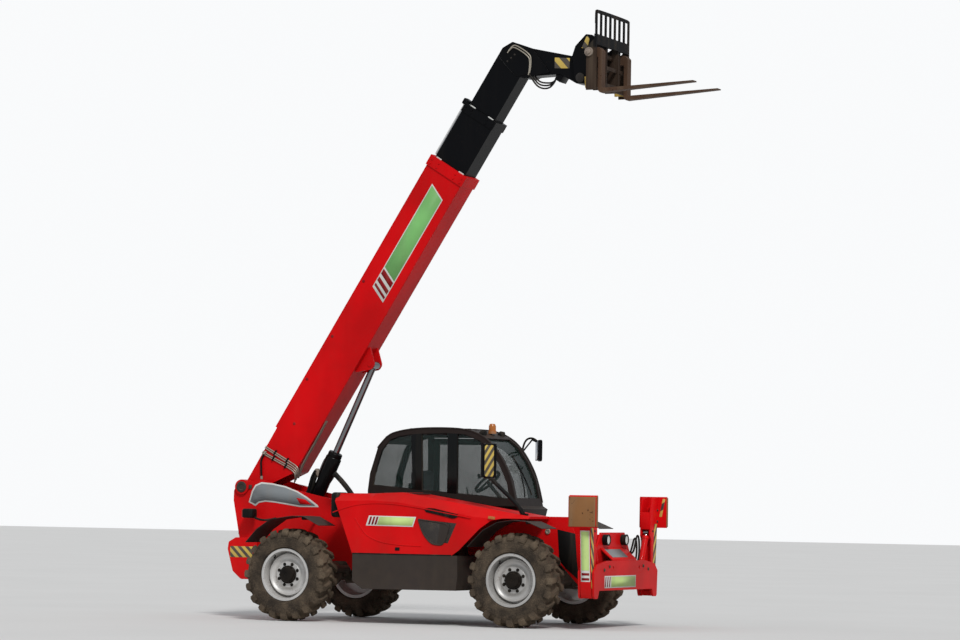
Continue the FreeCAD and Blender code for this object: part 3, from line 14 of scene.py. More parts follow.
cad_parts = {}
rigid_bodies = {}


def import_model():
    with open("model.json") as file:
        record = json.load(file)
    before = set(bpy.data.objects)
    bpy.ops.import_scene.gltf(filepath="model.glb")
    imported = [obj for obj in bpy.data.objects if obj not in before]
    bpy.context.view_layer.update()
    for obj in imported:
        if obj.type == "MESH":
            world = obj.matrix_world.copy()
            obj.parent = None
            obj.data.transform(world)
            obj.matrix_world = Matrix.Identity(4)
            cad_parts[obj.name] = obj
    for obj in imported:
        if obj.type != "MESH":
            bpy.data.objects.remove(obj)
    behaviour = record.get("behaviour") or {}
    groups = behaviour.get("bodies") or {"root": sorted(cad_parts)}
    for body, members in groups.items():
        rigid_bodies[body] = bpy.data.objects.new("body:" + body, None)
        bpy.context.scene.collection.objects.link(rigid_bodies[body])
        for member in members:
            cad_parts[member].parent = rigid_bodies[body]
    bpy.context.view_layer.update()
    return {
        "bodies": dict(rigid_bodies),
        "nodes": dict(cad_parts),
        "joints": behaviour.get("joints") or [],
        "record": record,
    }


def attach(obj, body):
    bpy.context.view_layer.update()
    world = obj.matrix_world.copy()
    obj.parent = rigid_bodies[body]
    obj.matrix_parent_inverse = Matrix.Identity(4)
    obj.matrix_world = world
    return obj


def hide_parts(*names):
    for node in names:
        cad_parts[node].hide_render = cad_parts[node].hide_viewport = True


LOG = logging.getLogger("telehandler")

Colour = tuple[float, float, float]
Point = tuple[float, float, float]
Flat = tuple[float, float]


class Value:
    """A number on a shader's socket, on which operators add Math nodes."""

    def __init__(self, graph: "Graph", socket: bpy.types.NodeSocket) -> None:
        """Keep the socket and the graph that it is in."""
        self.graph = graph
        self.socket = socket

    def math(self, operation: str, *others: "Value | float") -> "Value":
        """Add one Math node.

        Args:
            operation: the node's operation.
            others: its further inputs.

        Returns:
            The node's result.
        """
        return self.graph.maths(operation, self, *others)

    def __add__(self, other: "Value | float") -> "Value":
        """Sum."""
        return self.math("ADD", other)

    __radd__ = __add__

    def __sub__(self, other: "Value | float") -> "Value":
        """Difference."""
        return self.math("SUBTRACT", other)

    def __rsub__(self, other: "Value | float") -> "Value":
        """Difference, the other way round."""
        return self.graph.maths("SUBTRACT", other, self)

    def __mul__(self, other: "Value | float") -> "Value":
        """Product."""
        return self.math("MULTIPLY", other)

    __rmul__ = __mul__

    def __truediv__(self, other: "Value | float") -> "Value":
        """Quotient."""
        return self.math("DIVIDE", other)

    def __rtruediv__(self, other: "Value | float") -> "Value":
        """Quotient, the other way round."""
        return self.graph.maths("DIVIDE", other, self)

    def __neg__(self) -> "Value":
        """Opposite."""
        return self.math("MULTIPLY", -1.0)

    def clamp(self) -> "Value":
        """Held between 0 and 1."""
        return self.math("MAXIMUM", 0.0).math("MINIMUM", 1.0)

    def over(self, low: float, high: float) -> "Value":
        """Rise smoothly from 0 to 1.

        Args:
            low: the value at which the rise starts.
            high: the value at which it ends.

        Returns:
            The mask.
        """
        node = self.graph.node(
            "ShaderNodeMapRange",
            {"interpolation_type": "SMOOTHSTEP"},
            {"Value": self, "From Min": low, "From Max": high},
        )
        return Value(self.graph, node.outputs["Result"])


class Graph:
    """The node tree of one material."""

    def __init__(self, name: str) -> None:
        """Start an empty material.

        Args:
            name: the material's name.
        """
        self.material = bpy.data.materials.new(name)
        self.material.use_nodes = True
        self.tree = self.material.node_tree
        self.tree.nodes.clear()
        self.place = Value(self, self.node("ShaderNodeTexCoord").outputs["Object"])
        self.facing = Value(self, self.place.socket.node.outputs["Normal"])

    def node(
        self,
        kind: str,
        settings: dict[str, object] | None = None,
        inputs: dict[str | int, object] | None = None,
    ) -> bpy.types.Node:
        """Add a node, with its settings first and then its sockets.

        Args:
            kind: the node's type.
            settings: properties of the node.
            inputs: numbers, colours or links by socket.

        Returns:
            The node.
        """
        node = self.tree.nodes.new(kind)
        for key, value in (settings or {}).items():
            setattr(node, key, value)
        for key, value in (inputs or {}).items():
            if isinstance(value, Value):
                self.tree.links.new(value.socket, node.inputs[key])
            elif isinstance(value, bpy.types.NodeSocket):
                self.tree.links.new(value, node.inputs[key])
            elif isinstance(value, tuple) and len(value) == 3 and node.inputs[key].type == "RGBA":
                node.inputs[key].default_value = (*value, 1.0)
            else:
                node.inputs[key].default_value = value
        return node

    def maths(self, operation: str, *values: "Value | float") -> Value:
        """Work out one operation on numbers.

        Args:
            operation: the Math node's operation.
            values: its inputs in order.

        Returns:
            The result.
        """
        node = self.node("ShaderNodeMath", {"operation": operation}, dict(enumerate(values)))
        return Value(self, node.outputs[0])

    def axes(self, vector: Value) -> tuple[Value, Value, Value]:
        """Take a vector apart.

        Args:
            vector: the vector.

        Returns:
            Its three numbers.
        """
        node = self.node("ShaderNodeSeparateXYZ", None, {0: vector})
        return tuple(Value(self, output) for output in node.outputs)

    def stretched(self, scale: Point) -> Value:
        """Object coordinates at another scale on each axis.

        Args:
            scale: the three factors.

        Returns:
            The vector.
        """
        node = self.node("ShaderNodeVectorMath", {"operation": "MULTIPLY"}, {0: self.place, 1: scale})
        return Value(self, node.outputs[0])

    def noise(self, scale: float, detail: float = 3.0, place: Value | None = None) -> Value:
        """Cloudy noise from 0 to 1.

        Args:
            scale: clouds per metre.
            detail: octaves.
            place: the coordinates, object coordinates if none are given.

        Returns:
            The noise.
        """
        node = self.node("ShaderNodeTexNoise", None, {"Vector": place or self.place, "Scale": scale, "Detail": detail})
        return Value(self, node.outputs["Fac"])

    def cells(self, scale: float) -> Value:
        """Distance to the nearest of scattered points.

        Args:
            scale: points per metre.

        Returns:
            The distance.
        """
        node = self.node("ShaderNodeTexVoronoi", None, {"Vector": self.place, "Scale": scale})
        return Value(self, node.outputs["Distance"])

    def mix(self, low: "Value | Colour", high: "Value | Colour", share: Value) -> Value:
        """Blend two colours.

        Args:
            low: the colour at share 0.
            high: the colour at share 1.
            share: the mask.

        Returns:
            The blended colour.
        """
        node = self.node("ShaderNodeMix", {"data_type": "RGBA"}, {0: share, 6: low, 7: high})
        return Value(self, node.outputs[2])

    def rounded(self, radius: float) -> bpy.types.NodeSocket:
        """Normals that round off sharp edges.

        Args:
            radius: the radius of the rounding in metres.

        Returns:
            The normal's socket.
        """
        return self.node("ShaderNodeBevel", {"samples": 4}, {"Radius": radius}).outputs[0]

    def bump(self, height: Value, depth: float, strength: float = 1.0, under: object = None) -> bpy.types.NodeSocket:
        """Raise the surface.

        Args:
            height: the relief from 0 to 1.
            depth: its depth in metres.
            strength: its strength.
            under: a normal that it lies on.

        Returns:
            The normal's socket.
        """
        inputs = {"Height": height, "Distance": depth, "Strength": strength}
        if under is not None:
            inputs["Normal"] = under
        return self.node("ShaderNodeBump", None, inputs).outputs[0]

    def finish(self, **inputs: object) -> bpy.types.Material:
        """Add the surface shader and the output.

        Args:
            inputs: the shader's sockets, with _ for a space.

        Returns:
            The material.
        """
        named = {key.replace("_", " "): value for key, value in inputs.items()}
        shader = self.node("ShaderNodeBsdfPrincipled", None, named)
        return self.output(shader.outputs[0])

    def output(self, surface: bpy.types.NodeSocket) -> bpy.types.Material:
        """Send a shader to the material's output.

        Args:
            surface: the shader's socket.

        Returns:
            The material.
        """
        self.node("ShaderNodeOutputMaterial", None, {"Surface": surface})
        return self.material


DUST = (0.30, 0.235, 0.16)
MUD = (0.115, 0.082, 0.052)


@dataclass(frozen=True)
class Paint:
    """Painted or bare metal and moulded plastic, under the dust of a building site."""

    name: str
    colour: Colour
    roughness: float = 0.42
    metallic: float = 0.0
    dust: float = 0.35
    mud: float = 0.5
    streaks: float = 0.12
    worn: Colour = (0.10, 0.06, 0.04)
    wear: float = 0.10
    relief: float = 0.0006
    grain: float = 60.0
    coat: float = 0.0
    specular: float = 0.35
    above: Colour | None = None
    above_height: float = 0.0

    def make(self) -> bpy.types.Material:
        """Build the material.

        Returns:
            The material.
        """
        g = Graph(self.name)
        height = g.axes(g.place)[2]
        up = g.axes(g.facing)[2]
        broad, middle, fine = g.noise(1.1, 4), g.noise(7.0, 5), g.noise(self.grain, 4)
        rain = g.noise(1.0, 3, g.stretched((9.0, 9.0, 0.7)))
        lying = (up.over(0.25, 0.95) * (broad * 0.7 + middle * 0.6) * self.dust * 1.6).clamp()
        splash = ((1 - height.over(0.3, 1.9)) * (middle * 1.5 - 0.25 + broad * 0.4) * self.mud).clamp()
        film = (rain.over(0.45, 0.75) * self.streaks + broad.over(0.4, 0.7) * self.dust * 0.22).clamp()
        chips = (fine.over(0.60, 0.66) * middle.over(0.52, 0.6) * self.wear * 6).clamp()
        shade = tuple(c * 0.72 for c in self.colour)
        colour = g.mix(self.colour, shade, broad.over(0.35, 0.7))
        if self.above:
            colour = g.mix(colour, self.above, height.over(self.above_height - 0.02, self.above_height + 0.02))
        colour = g.mix(colour, self.worn, chips)
        colour = g.mix(colour, DUST, (film + lying * 0.75).clamp())
        colour = g.mix(colour, MUD, splash * 0.85)
        soiled = (film + lying + splash).clamp()
        rough = (self.roughness + soiled * 0.42 + (fine - 0.5) * 0.14).clamp()
        metal = (1 - soiled * 0.8) * self.metallic
        extra = {"Specular_IOR_Level": self.specular}
        if self.coat:
            extra["Coat_Weight"] = (1 - soiled) * self.coat
        normal = g.bump(fine + splash * 0.8 - chips, self.relief, 0.6, g.rounded(0.004))
        return g.finish(Base_Color=colour, Roughness=rough, Metallic=metal, Normal=normal, **extra)


@dataclass(frozen=True)
class Rubber:
    """Tyre rubber, grey-brown with dried mud, paler between the lugs."""

    name: str = "tyre_rubber"
    colour: Colour = (0.030, 0.024, 0.019)
    soil: Colour = (0.135, 0.100, 0.068)
    axle_middle: float = -0.39
    axle_half: float = 1.535
    hub_height: float = 0.575

    def make(self) -> bpy.types.Material:
        """Build the material.

        Returns:
            The material.
        """
        g = Graph(self.name)
        along, across, height = g.axes(g.place)
        ahead = (along - self.axle_middle).math("ABSOLUTE") - self.axle_half
        lifted = height - self.hub_height
        radius = (ahead * ahead + lifted * lifted).math("SQRT")
        middle, fine = g.noise(6.0, 6), g.noise(90.0, 4)
        caked = (0.30 + radius.over(0.44, 0.56) * 0.35 + (middle - 0.5) * 1.8 + (fine - 0.5) * 1.2).clamp()
        ribs = (radius * 260).math("SINE") * radius.over(0.335, 0.35) * (1 - radius.over(0.385, 0.40))
        ring = radius.over(0.452, 0.456) * (1 - radius.over(0.462, 0.466))
        colour = g.mix(g.mix(self.colour, self.soil, caked), DUST, (fine.over(0.55, 0.7) * middle.over(0.5, 0.7) * 0.35).clamp())
        normal = g.bump(ribs * 0.35 + ring + fine * 0.5 + caked * 0.4, 0.003, 0.7, g.rounded(0.008))
        return g.finish(Base_Color=colour, Roughness=(0.78 + fine * 0.2).clamp(), Normal=normal, Specular_IOR_Level=0.08)


@dataclass(frozen=True)
class Glass:
    """Tinted safety glass with a film of dust."""

    name: str = "cab_glass"
    colour: Colour = (0.012, 0.026, 0.021)
    clear: float = 0.42

    def make(self) -> bpy.types.Material:
        """Build the material.

        Returns:
            The material.
        """
        g = Graph(self.name)
        broad, fine = g.noise(2.2, 4), g.noise(40.0, 3)
        film = (broad.over(0.42, 0.8) * 0.35 + (fine - 0.5) * 0.02).clamp()
        colour = g.mix(self.colour, (0.13, 0.135, 0.115), film * 0.5)
        alpha = (self.clear + film * 0.4).clamp()
        return g.finish(Base_Color=colour, Roughness=(0.05 + film * 0.4).clamp(), Alpha=alpha, IOR=1.5)


@dataclass(frozen=True)
class Stripes:
    """Slanting warning stripes, worn and dusty."""

    name: str = "warning_stripes"
    light: Colour = (0.60, 0.42, 0.055)
    dark: Colour = (0.016, 0.015, 0.014)
    pitch: float = 0.11
    lean: Point = (1.0, 1.0, 1.0)
    shift: float = 0.0
    mirrored: bool = False

    def make(self) -> bpy.types.Material:
        """Build the material.

        Returns:
            The material.
        """
        g = Graph(self.name)
        along, across, height = g.axes(g.place)
        if self.mirrored:
            across = across.math("ABSOLUTE")
        slant = along * self.lean[0] + across * self.lean[1] + height * self.lean[2]
        band = (slant / self.pitch + self.shift).math("FRACT")
        middle, fine = g.noise(9.0, 5), g.noise(80.0, 4)
        scuffed = (fine.over(0.6, 0.7) * middle.over(0.5, 0.62)).clamp()
        colour = g.mix(self.dark, self.light, band.over(0.47, 0.50) * (1 - band.over(0.97, 1.0)))
        colour = g.mix(g.mix(colour, DUST, middle * 0.4), (0.06, 0.045, 0.035), scuffed)
        normal = g.bump(fine - scuffed, 0.0006, 0.6)
        return g.finish(Base_Color=colour, Roughness=(0.5 + fine * 0.2).clamp(), Normal=normal)


@dataclass(frozen=True)
class Lenses:
    """Lamp lenses, each in its colour by where it sits on the machine."""

    name: str = "lamp_lenses"
    clear: Colour = (0.62, 0.62, 0.58)
    red: Colour = (0.33, 0.012, 0.010)
    amber: Colour = (0.42, 0.13, 0.018)

    def make(self) -> bpy.types.Material:
        """Build the material.

        Returns:
            The material.
        """
        g = Graph(self.name)
        along, across, height = g.axes(g.place)
        rear = 1 - along.over(-2.0, -1.9)
        top = height.over(2.32, 2.34)
        flank = 1 - across.over(-1.02, -1.0)
        marker = flank * (1 - along.over(1.2, 1.3)) * along.over(0.2, 0.3)
        amber = (top + marker).clamp()
        colour = g.mix(g.mix(self.clear, self.red, rear), self.amber, amber)
        ribs = ((across + along) * 420).math("SINE") * 0.5 + 0.5
        dusty = g.noise(12.0, 4)
        colour = g.mix(colour, DUST, dusty.over(0.45, 0.8) * 0.5)
        normal = g.bump(ribs, 0.0012, 0.5)
        return g.finish(Base_Color=colour, Roughness=(0.12 + dusty * 0.3).clamp(), Normal=normal)


@dataclass(frozen=True)
class Mesh:
    """Expanded metal of the hood's grille, with painted shade in its openings where the space behind is dark."""

    name: str = "grille_mesh"
    bars: Colour = (0.055, 0.042, 0.035)
    # near-black: painted shade seen through the grille's openings
    painted_hole_shade: Colour = (0.004, 0.004, 0.004)
    pitch: float = 0.022

    def make(self) -> bpy.types.Material:
        """Build the material.

        Returns:
            The material.
        """
        g = Graph(self.name)
        along, across, height = g.axes(g.place)
        one = ((along + height * 1.6) / self.pitch).math("FRACT") - 0.5
        two = ((along - height * 1.6) / self.pitch).math("FRACT") - 0.5
        open_part = (0.5 - one.math("ABSOLUTE").math("MAXIMUM", two.math("ABSOLUTE"))).over(0.10, 0.16)
        dusty = g.noise(5.0, 5)
        # the openings take the near-black painted shade, laid over a solid surface
        colour = g.mix(g.mix(self.bars, DUST, dusty.over(0.4, 0.75) * 0.6), self.painted_hole_shade, open_part)
        normal = g.bump(1 - open_part, 0.003, 1.0)
        return g.finish(Base_Color=colour, Roughness=(0.6 + dusty * 0.2).clamp(), Normal=normal)


@dataclass(frozen=True)
class Cloth:
    """Woven seat cloth with the sheen of long use."""

    name: str = "seat_cloth"
    colour: Colour = (0.030, 0.031, 0.036)
    thread: float = 700.0

    def make(self) -> bpy.types.Material:
        """Build the material.

        Returns:
            The material.
        """
        g = Graph(self.name)
        along, across, height = g.axes(g.place)
        weave = ((along + height) * self.thread).math("SINE") * (across * self.thread).math("SINE") * 0.5 + 0.5
        worn = g.noise(7.0, 4)
        light = tuple(c * 2.1 for c in self.colour)
        colour = g.mix(self.colour, light, (weave * 0.6 + worn.over(0.5, 0.8) * 0.4).clamp())
        normal = g.bump(weave, 0.0006, 0.6)
        return g.finish(Base_Color=colour, Roughness=(0.82 + worn * 0.12).clamp(), Normal=normal, Sheen_Weight=0.3)


class Finish(Enum):
    """The finishes, each made once."""

    RED = Paint("red_paint", (0.66, 0.004, 0.006), 0.34, dust=0.03, streaks=0.008, wear=0.015, coat=0.03, mud=0.10, specular=0.05)
    BLACK = Paint("black_paint", (0.0030, 0.0032, 0.0040), 0.30, dust=0.02, mud=0.15, streaks=0.006, wear=0.01, coat=0.04, specular=0.07)
    CAB = Paint("cab_steel", (0.022, 0.016, 0.014), 0.45, dust=0.05, mud=0.10, streaks=0.01, wear=0.02, specular=0.12)
    PLASTIC = Paint("dark_plastic", (0.034, 0.027, 0.025), 0.55, dust=0.08, mud=0.22, streaks=0.015, wear=0.01, grain=220.0, specular=0.15)
    RUST = Paint("rusty_steel", (0.270, 0.125, 0.048), 0.80, dust=0.25, streaks=0.30, worn=(0.07, 0.024, 0.010), wear=0.9, grain=26.0, relief=0.002,
                 specular=0.10)
    FORK = Paint("fork_steel", (0.085, 0.046, 0.028), 0.6, 0.1, dust=0.04, worn=(0.03, 0.014, 0.009), wear=0.3, relief=0.001, specular=0.12)
    FRAME = Paint("fork_frame_steel", (0.036, 0.022, 0.015), 0.62, 0.05, dust=0.04, specular=0.12, worn=(0.04, 0.018, 0.010), wear=0.4,
                  relief=0.001, above=(0.0042, 0.0042, 0.0048), above_height=7.12)
    CAST = Paint("cast_iron", (0.022, 0.019, 0.017), 0.60, dust=0.25, mud=0.7, grain=140.0, relief=0.0015, specular=0.25)
    # The chrome is dark: a painted dark reflection, in place of the bright studio that it mirrors.
    CHROME = Paint("chrome_rod", (0.26, 0.27, 0.28), 0.12, 0.95, dust=0.06, mud=0.1, wear=0.0, streaks=0.06, relief=0.00005)
    RIM = Paint("rim_silver", (0.66, 0.65, 0.63), 0.36, 0.40, dust=0.08, mud=0.20, worn=(0.16, 0.08, 0.04), wear=0.12)
    HOSE = Paint("hose_rubber", (0.0060, 0.0060, 0.0060), 0.55, dust=0.05, mud=0.2, wear=0.0, grain=300.0, specular=0.12)
    ZINC = Paint("zinc_plate", (0.42, 0.38, 0.31), 0.38, 0.55, dust=0.2, mud=0.3, wear=0.04)
    TAN = Paint("tan_plate", (0.26, 0.21, 0.17), 0.5, 0.2, dust=0.2, mud=0.2, wear=0.1)
    PLATE = Paint("green_plate", (0.22, 0.54, 0.17), 0.45, dust=0.06, mud=0.06, wear=0.02, specular=0.15)
    LIME = Paint("lime_plate", (0.56, 0.74, 0.26), 0.45, dust=0.06, mud=0.06, wear=0.02, specular=0.15)
    WHITE = Paint("white_plate", (0.70, 0.70, 0.66), 0.45, dust=0.10, mud=0.08, wear=0.03, specular=0.25)
    GREY = Paint("grey_plate", (0.23, 0.25, 0.26), 0.5, dust=0.15, mud=0.1, wear=0.04, specular=0.25)
    YELLOW = Paint("yellow_paint", (0.50, 0.33, 0.06), 0.5, dust=0.15, mud=0.2, wear=0.3)
    BARS = Paint("dark_red_print", (0.24, 0.006, 0.010), 0.5, dust=0.03, mud=0.03, wear=0.02, specular=0.10)
    GLOSS = Paint("black_glass", (0.004, 0.005, 0.005), 0.16, dust=0.05, mud=0.02, wear=0.0, streaks=0.02, relief=0.0001,
                  specular=0.18)
    DARK_RED = Paint("chassis_paint", (0.16, 0.006, 0.006), 0.5, dust=0.15, mud=0.5, wear=0.1, specular=0.10)
    SEAL = Paint("window_seal", (0.005, 0.005, 0.005), 0.6, dust=0.03, mud=0.04, wear=0.0, grain=200.0, specular=0.12)
    MIRROR = Paint("mirror_glass", (0.62, 0.64, 0.66), 0.03, 1.0, dust=0.05, mud=0.0, wear=0.0, relief=0.0, streaks=0.03)
    TYRE = Rubber()
    GLASS = Glass()
    STRIPES = Stripes()
    RISING = Stripes("rising_stripes", pitch=0.125, lean=(-0.86, -1.22, 1.0))
    BROAD = Stripes("broad_stripes", pitch=0.205, lean=(1.1, 1.0, 1.0), shift=0.42)
    LEG = Stripes("leg_stripes", pitch=0.17, lean=(-0.6, -1.6, 1.0), mirrored=True)
    LENSES = Lenses()
    MESH = Mesh()
    CLOTH = Cloth()

    def material(self) -> bpy.types.Material:
        """The finish's material, made the first time that it is asked for."""
        if self not in MADE:
            MADE[self] = self.value.make()
        return MADE[self]


MADE: dict[Finish, bpy.types.Material] = {}


class Built:
    """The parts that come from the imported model."""

    def __init__(self, nodes: dict[str, bpy.types.Object]) -> None:
        """Keep the parts by name."""
        self.nodes = nodes
        self.left = set(nodes)

    def dress(self, finish: Finish, *names: str) -> None:
        """Give parts their finish, smooth shading and sound normals.

        Args:
            finish: the finish.
            names: the parts; a name that ends in an underscore takes all that start so.
        """
        for name in names:
            matched = [n for n in self.nodes if n == name or (name.endswith("_") and n.startswith(name))]
            if not matched:
                raise ValueError(f"no part is named {name}")
            for part_name in matched:
                part = self.nodes[part_name]
                part.data.materials.clear()
                part.data.materials.append(finish.material())
                part.data.polygons.foreach_set("use_smooth", [True] * len(part.data.polygons))
                weld = part.modifiers.new("weld", "WELD")
                weld.merge_threshold = 0.00005
                split = part.modifiers.new("split", "EDGE_SPLIT")
                split.split_angle = math.radians(32)
                self.left.discard(part_name)
                LOG.info("%s: %s", part_name, finish.name)


class Plane(Enum):
    """The plane that an outline is drawn in."""

    SIDE = "x-z"
    FRONT = "y-z"
    PLAN = "x-y"

    def spot(self, at: Flat, depth: float) -> Vector:
        """A drawn point, with its depth across the plane."""
        if self is Plane.SIDE:
            return Vector((at[0], depth, at[1]))
        if self is Plane.FRONT:
            return Vector((depth, at[0], at[1]))
        return Vector((at[0], at[1], depth))


class Bench:
    """Hand tools: each piece starts from a primitive and is shaped in edit mode."""

    @staticmethod
    def take(*pieces: bpy.types.Object) -> None:
        """Select these pieces alone, with the first one active."""
        bpy.ops.object.select_all(action="DESELECT")
        for piece in pieces:
            piece.select_set(True)
        bpy.context.view_layer.objects.active = pieces[0]

    @staticmethod
    def settle(name: str) -> bpy.types.Object:
        """Name the new primitive and put its place into its mesh."""
        piece = bpy.context.object
        Bench.take(piece)
        bpy.ops.object.transform_apply(location=True, rotation=True, scale=True)
        piece.name = piece.data.name = name
        return piece

    @staticmethod
    def pick(piece: bpy.types.Object, wanted: Callable[[bmesh.types.BMEdge], bool]) -> None:
        """In edit mode, select the edges that pass a test.

        Args:
            piece: the piece in edit mode.
            wanted: the test of an edge.
        """
        mesh = bmesh.from_edit_mesh(piece.data)
        mesh.normal_update()
        bpy.ops.mesh.select_mode(type="EDGE")
        bpy.ops.mesh.select_all(action="DESELECT")
        for edge in mesh.edges:
            edge.select_set(wanted(edge))
        bmesh.update_edit_mesh(piece.data)

    @staticmethod
    def slab(name: str, low: Point, high: Point, edge: float = 0.004, steps: int = 2) -> bpy.types.Object:
        """Make a block with rounded edges.

        Args:
            name: the piece's name.
            low: its lowest corner.
            high: its highest corner.
            edge: the rounding.
            steps: segments of the rounding.

        Returns:
            The piece.
        """
        size = Vector(high) - Vector(low)
        bpy.ops.mesh.primitive_cube_add(size=1, location=(Vector(high) + Vector(low)) / 2, scale=size)
        piece = Bench.settle(name)
        bpy.ops.object.mode_set(mode="EDIT")
        bpy.ops.mesh.select_all(action="SELECT")
        bpy.ops.mesh.bevel(offset=min(edge, min(size) * 0.4), segments=steps, affect="EDGES")
        bpy.ops.object.mode_set(mode="OBJECT")
        return piece

    @staticmethod
    def lathe(name: str, start: Point, axis: Point, profile: list[Flat], sides: int = 24) -> bpy.types.Object:
        """Make a round piece by extruding a disc along its axis and sizing it at each step.

        Args:
            name: the piece's name.
            start: the middle of the first disc.
            axis: the direction it grows in.
            profile: distance along the axis and radius, in order.
            sides: corners of the disc.

        Returns:
            The piece.
        """
        along = Vector(axis).normalized()
        turn = along.to_track_quat("Z", "Y").to_euler()
        first = Vector(start) + along * profile[0][0]
        bpy.ops.mesh.primitive_circle_add(vertices=sides, radius=profile[0][1], fill_type="NGON", location=first, rotation=turn)
        piece = Bench.settle(name)
        bpy.ops.object.mode_set(mode="EDIT")
        bpy.ops.mesh.select_all(action="SELECT")
        for (here, wide), (there, next_wide) in zip(profile, profile[1:]):
            bpy.ops.mesh.extrude_region_move(TRANSFORM_OT_translate={"value": along * (there - here)})
            ratio = next_wide / wide
            centre = Vector(start) + along * there
            bpy.ops.transform.resize(value=(ratio, ratio, ratio), center_override=centre)
        bpy.ops.mesh.select_all(action="SELECT")
        bpy.ops.mesh.normals_make_consistent(inside=False)
        bpy.ops.object.mode_set(mode="OBJECT")
        return piece

    @staticmethod
    def plate(
        name: str,
        outline: list[Flat],
        plane: Plane,
        low: float,
        high: float,
        edge: float = 0.0015,
        frame: Matrix | None = None,
    ) -> bpy.types.Object:
        """Make a plate by drawing a ring of corners, filling it and extruding it.

        Args:
            name: the piece's name.
            outline: its corners in the plane.
            plane: the plane.
            low: its near face across the plane.
            high: its far face.
            edge: the rounding of its rims.
            frame: a frame that it is drawn in.

        Returns:
            The piece.
        """
        bpy.ops.mesh.primitive_circle_add(vertices=len(outline), radius=1, fill_type="NGON")
        piece = Bench.settle(name)
        bpy.ops.object.mode_set(mode="EDIT")
        mesh = bmesh.from_edit_mesh(piece.data)
        for corner, at in zip(mesh.faces[:][0].verts, outline):
            corner.co = plane.spot(at, low)
        bmesh.update_edit_mesh(piece.data)
        bpy.ops.mesh.select_all(action="SELECT")
        bpy.ops.mesh.extrude_region_move(TRANSFORM_OT_translate={"value": plane.spot((0, 0), high - low)})
        if edge:
            across = plane.spot((0, 0), 1)
            Bench.pick(piece, lambda item: any(abs(face.normal.dot(across)) > 0.9 for face in item.link_faces))
            bpy.ops.mesh.bevel(offset=edge, segments=2, affect="EDGES")
        bpy.ops.mesh.select_all(action="SELECT")
        bpy.ops.mesh.normals_make_consistent(inside=False)
        bpy.ops.object.mode_set(mode="OBJECT")
        return Bench.moved(piece, frame)

    @staticmethod
    def moved(piece: bpy.types.Object, frame: Matrix | None) -> bpy.types.Object:
        """Move a piece into a frame.

        Args:
            piece: the piece.
            frame: the frame, or none to leave it.

        Returns:
            The piece.
        """
        if frame is not None:
            piece.matrix_world = frame
            Bench.take(piece)
            bpy.ops.object.transform_apply(location=True, rotation=True, scale=True)
            if frame.determinant() < 0:
                bpy.ops.object.mode_set(mode="EDIT")
                bpy.ops.mesh.select_all(action="SELECT")
                bpy.ops.mesh.flip_normals()
                bpy.ops.object.mode_set(mode="OBJECT")
        return piece

    @staticmethod
    def hose(name: str, points: list[Point], radius: float, sides: int = 3) -> bpy.types.Object:
        """Make a hose or pipe along a smooth curve.

        Args:
            name: the piece's name.
            points: the curve's control points.
            radius: the hose's radius.
            sides: the resolution of its section.

        Returns:
            The piece.
        """
        bpy.ops.curve.primitive_nurbs_path_add(location=(0, 0, 0))
        path = bpy.context.object
        path.data.splines.clear()
        spline = path.data.splines.new("NURBS")
        spline.points.add(len(points) - 1)
        for spot, at in zip(spline.points, points):
            spot.co = (*at, 1.0)
        spline.order_u = 3
        spline.use_endpoint_u = True
        path.data.resolution_u = 8
        path.data.bevel_depth = radius
        path.data.bevel_resolution = sides
        path.data.use_fill_caps = True
        Bench.take(path)
        bpy.ops.object.convert(target="MESH")
        return Bench.settle(name)

    @staticmethod
    def copies(piece: bpy.types.Object, frames: list[Matrix]) -> bpy.types.Object:
        """Copy a piece into several frames and join the copies, without the piece itself.

        Args:
            piece: the piece.
            frames: where each copy goes.

        Returns:
            The joined copies, under the piece's name.
        """
        name = piece.name
        made = []
        for frame in frames:
            Bench.take(piece)
            bpy.ops.object.duplicate()
            made.append(Bench.moved(bpy.context.object, frame))
        bpy.data.objects.remove(piece)
        return Bench.joined(name, made)

    @staticmethod
    def joined(name: str, pieces: list[bpy.types.Object]) -> bpy.types.Object:
        """Join pieces into one.

        Args:
            name: the joined piece's name.
            pieces: the pieces.

        Returns:
            The joined piece.
        """
        Bench.take(*pieces)
        if len(pieces) > 1:
            bpy.ops.object.join()
        return Bench.settle(name)

    @staticmethod
    def bolt(name: str, size: float) -> bpy.types.Object:
        """Make a hexagon bolt head on its washer, standing on the ground at the origin.

        Args:
            name: the piece's name.
            size: the radius of the head.

        Returns:
            The piece.
        """
        washer = Bench.lathe(name + "_washer", (0, 0, -0.002), (0, 0, 1), [(0, size * 1.3), (0.002 + size * 0.16, size * 1.3)], 16)
        head = Bench.lathe(name + "_head", (0, 0, 0), (0, 0, 1), [(0.001, size), (size * 0.72, size), (size * 0.82, size * 0.86)], 6)
        return Bench.joined(name, [washer, head])


def standing(at: Point, axis: Point) -> Matrix:
    """The frame that stands something from the ground on a surface.

    Args:
        at: the spot on the surface.
        axis: the surface's outward direction.

    Returns:
        The frame.
    """
    return Matrix.Translation(Vector(at)) @ Vector(axis).to_track_quat("Z", "Y").to_matrix().to_4x4()


ACROSS = Matrix.Scale(-1, 4, (0, 1, 0))
BOTH = (Matrix.Identity(4), ACROSS)
REAR_AXLE = -1.925


def ahead(x: float) -> float:
    """A place ahead of the rear axle, in the machine's frame."""
    return x + REAR_AXLE


def drawn(*corners: Flat) -> list[Flat]:
    """Corners given ahead of the rear axle, in the machine's frame."""
    return [(ahead(x), z) for x, z in corners]


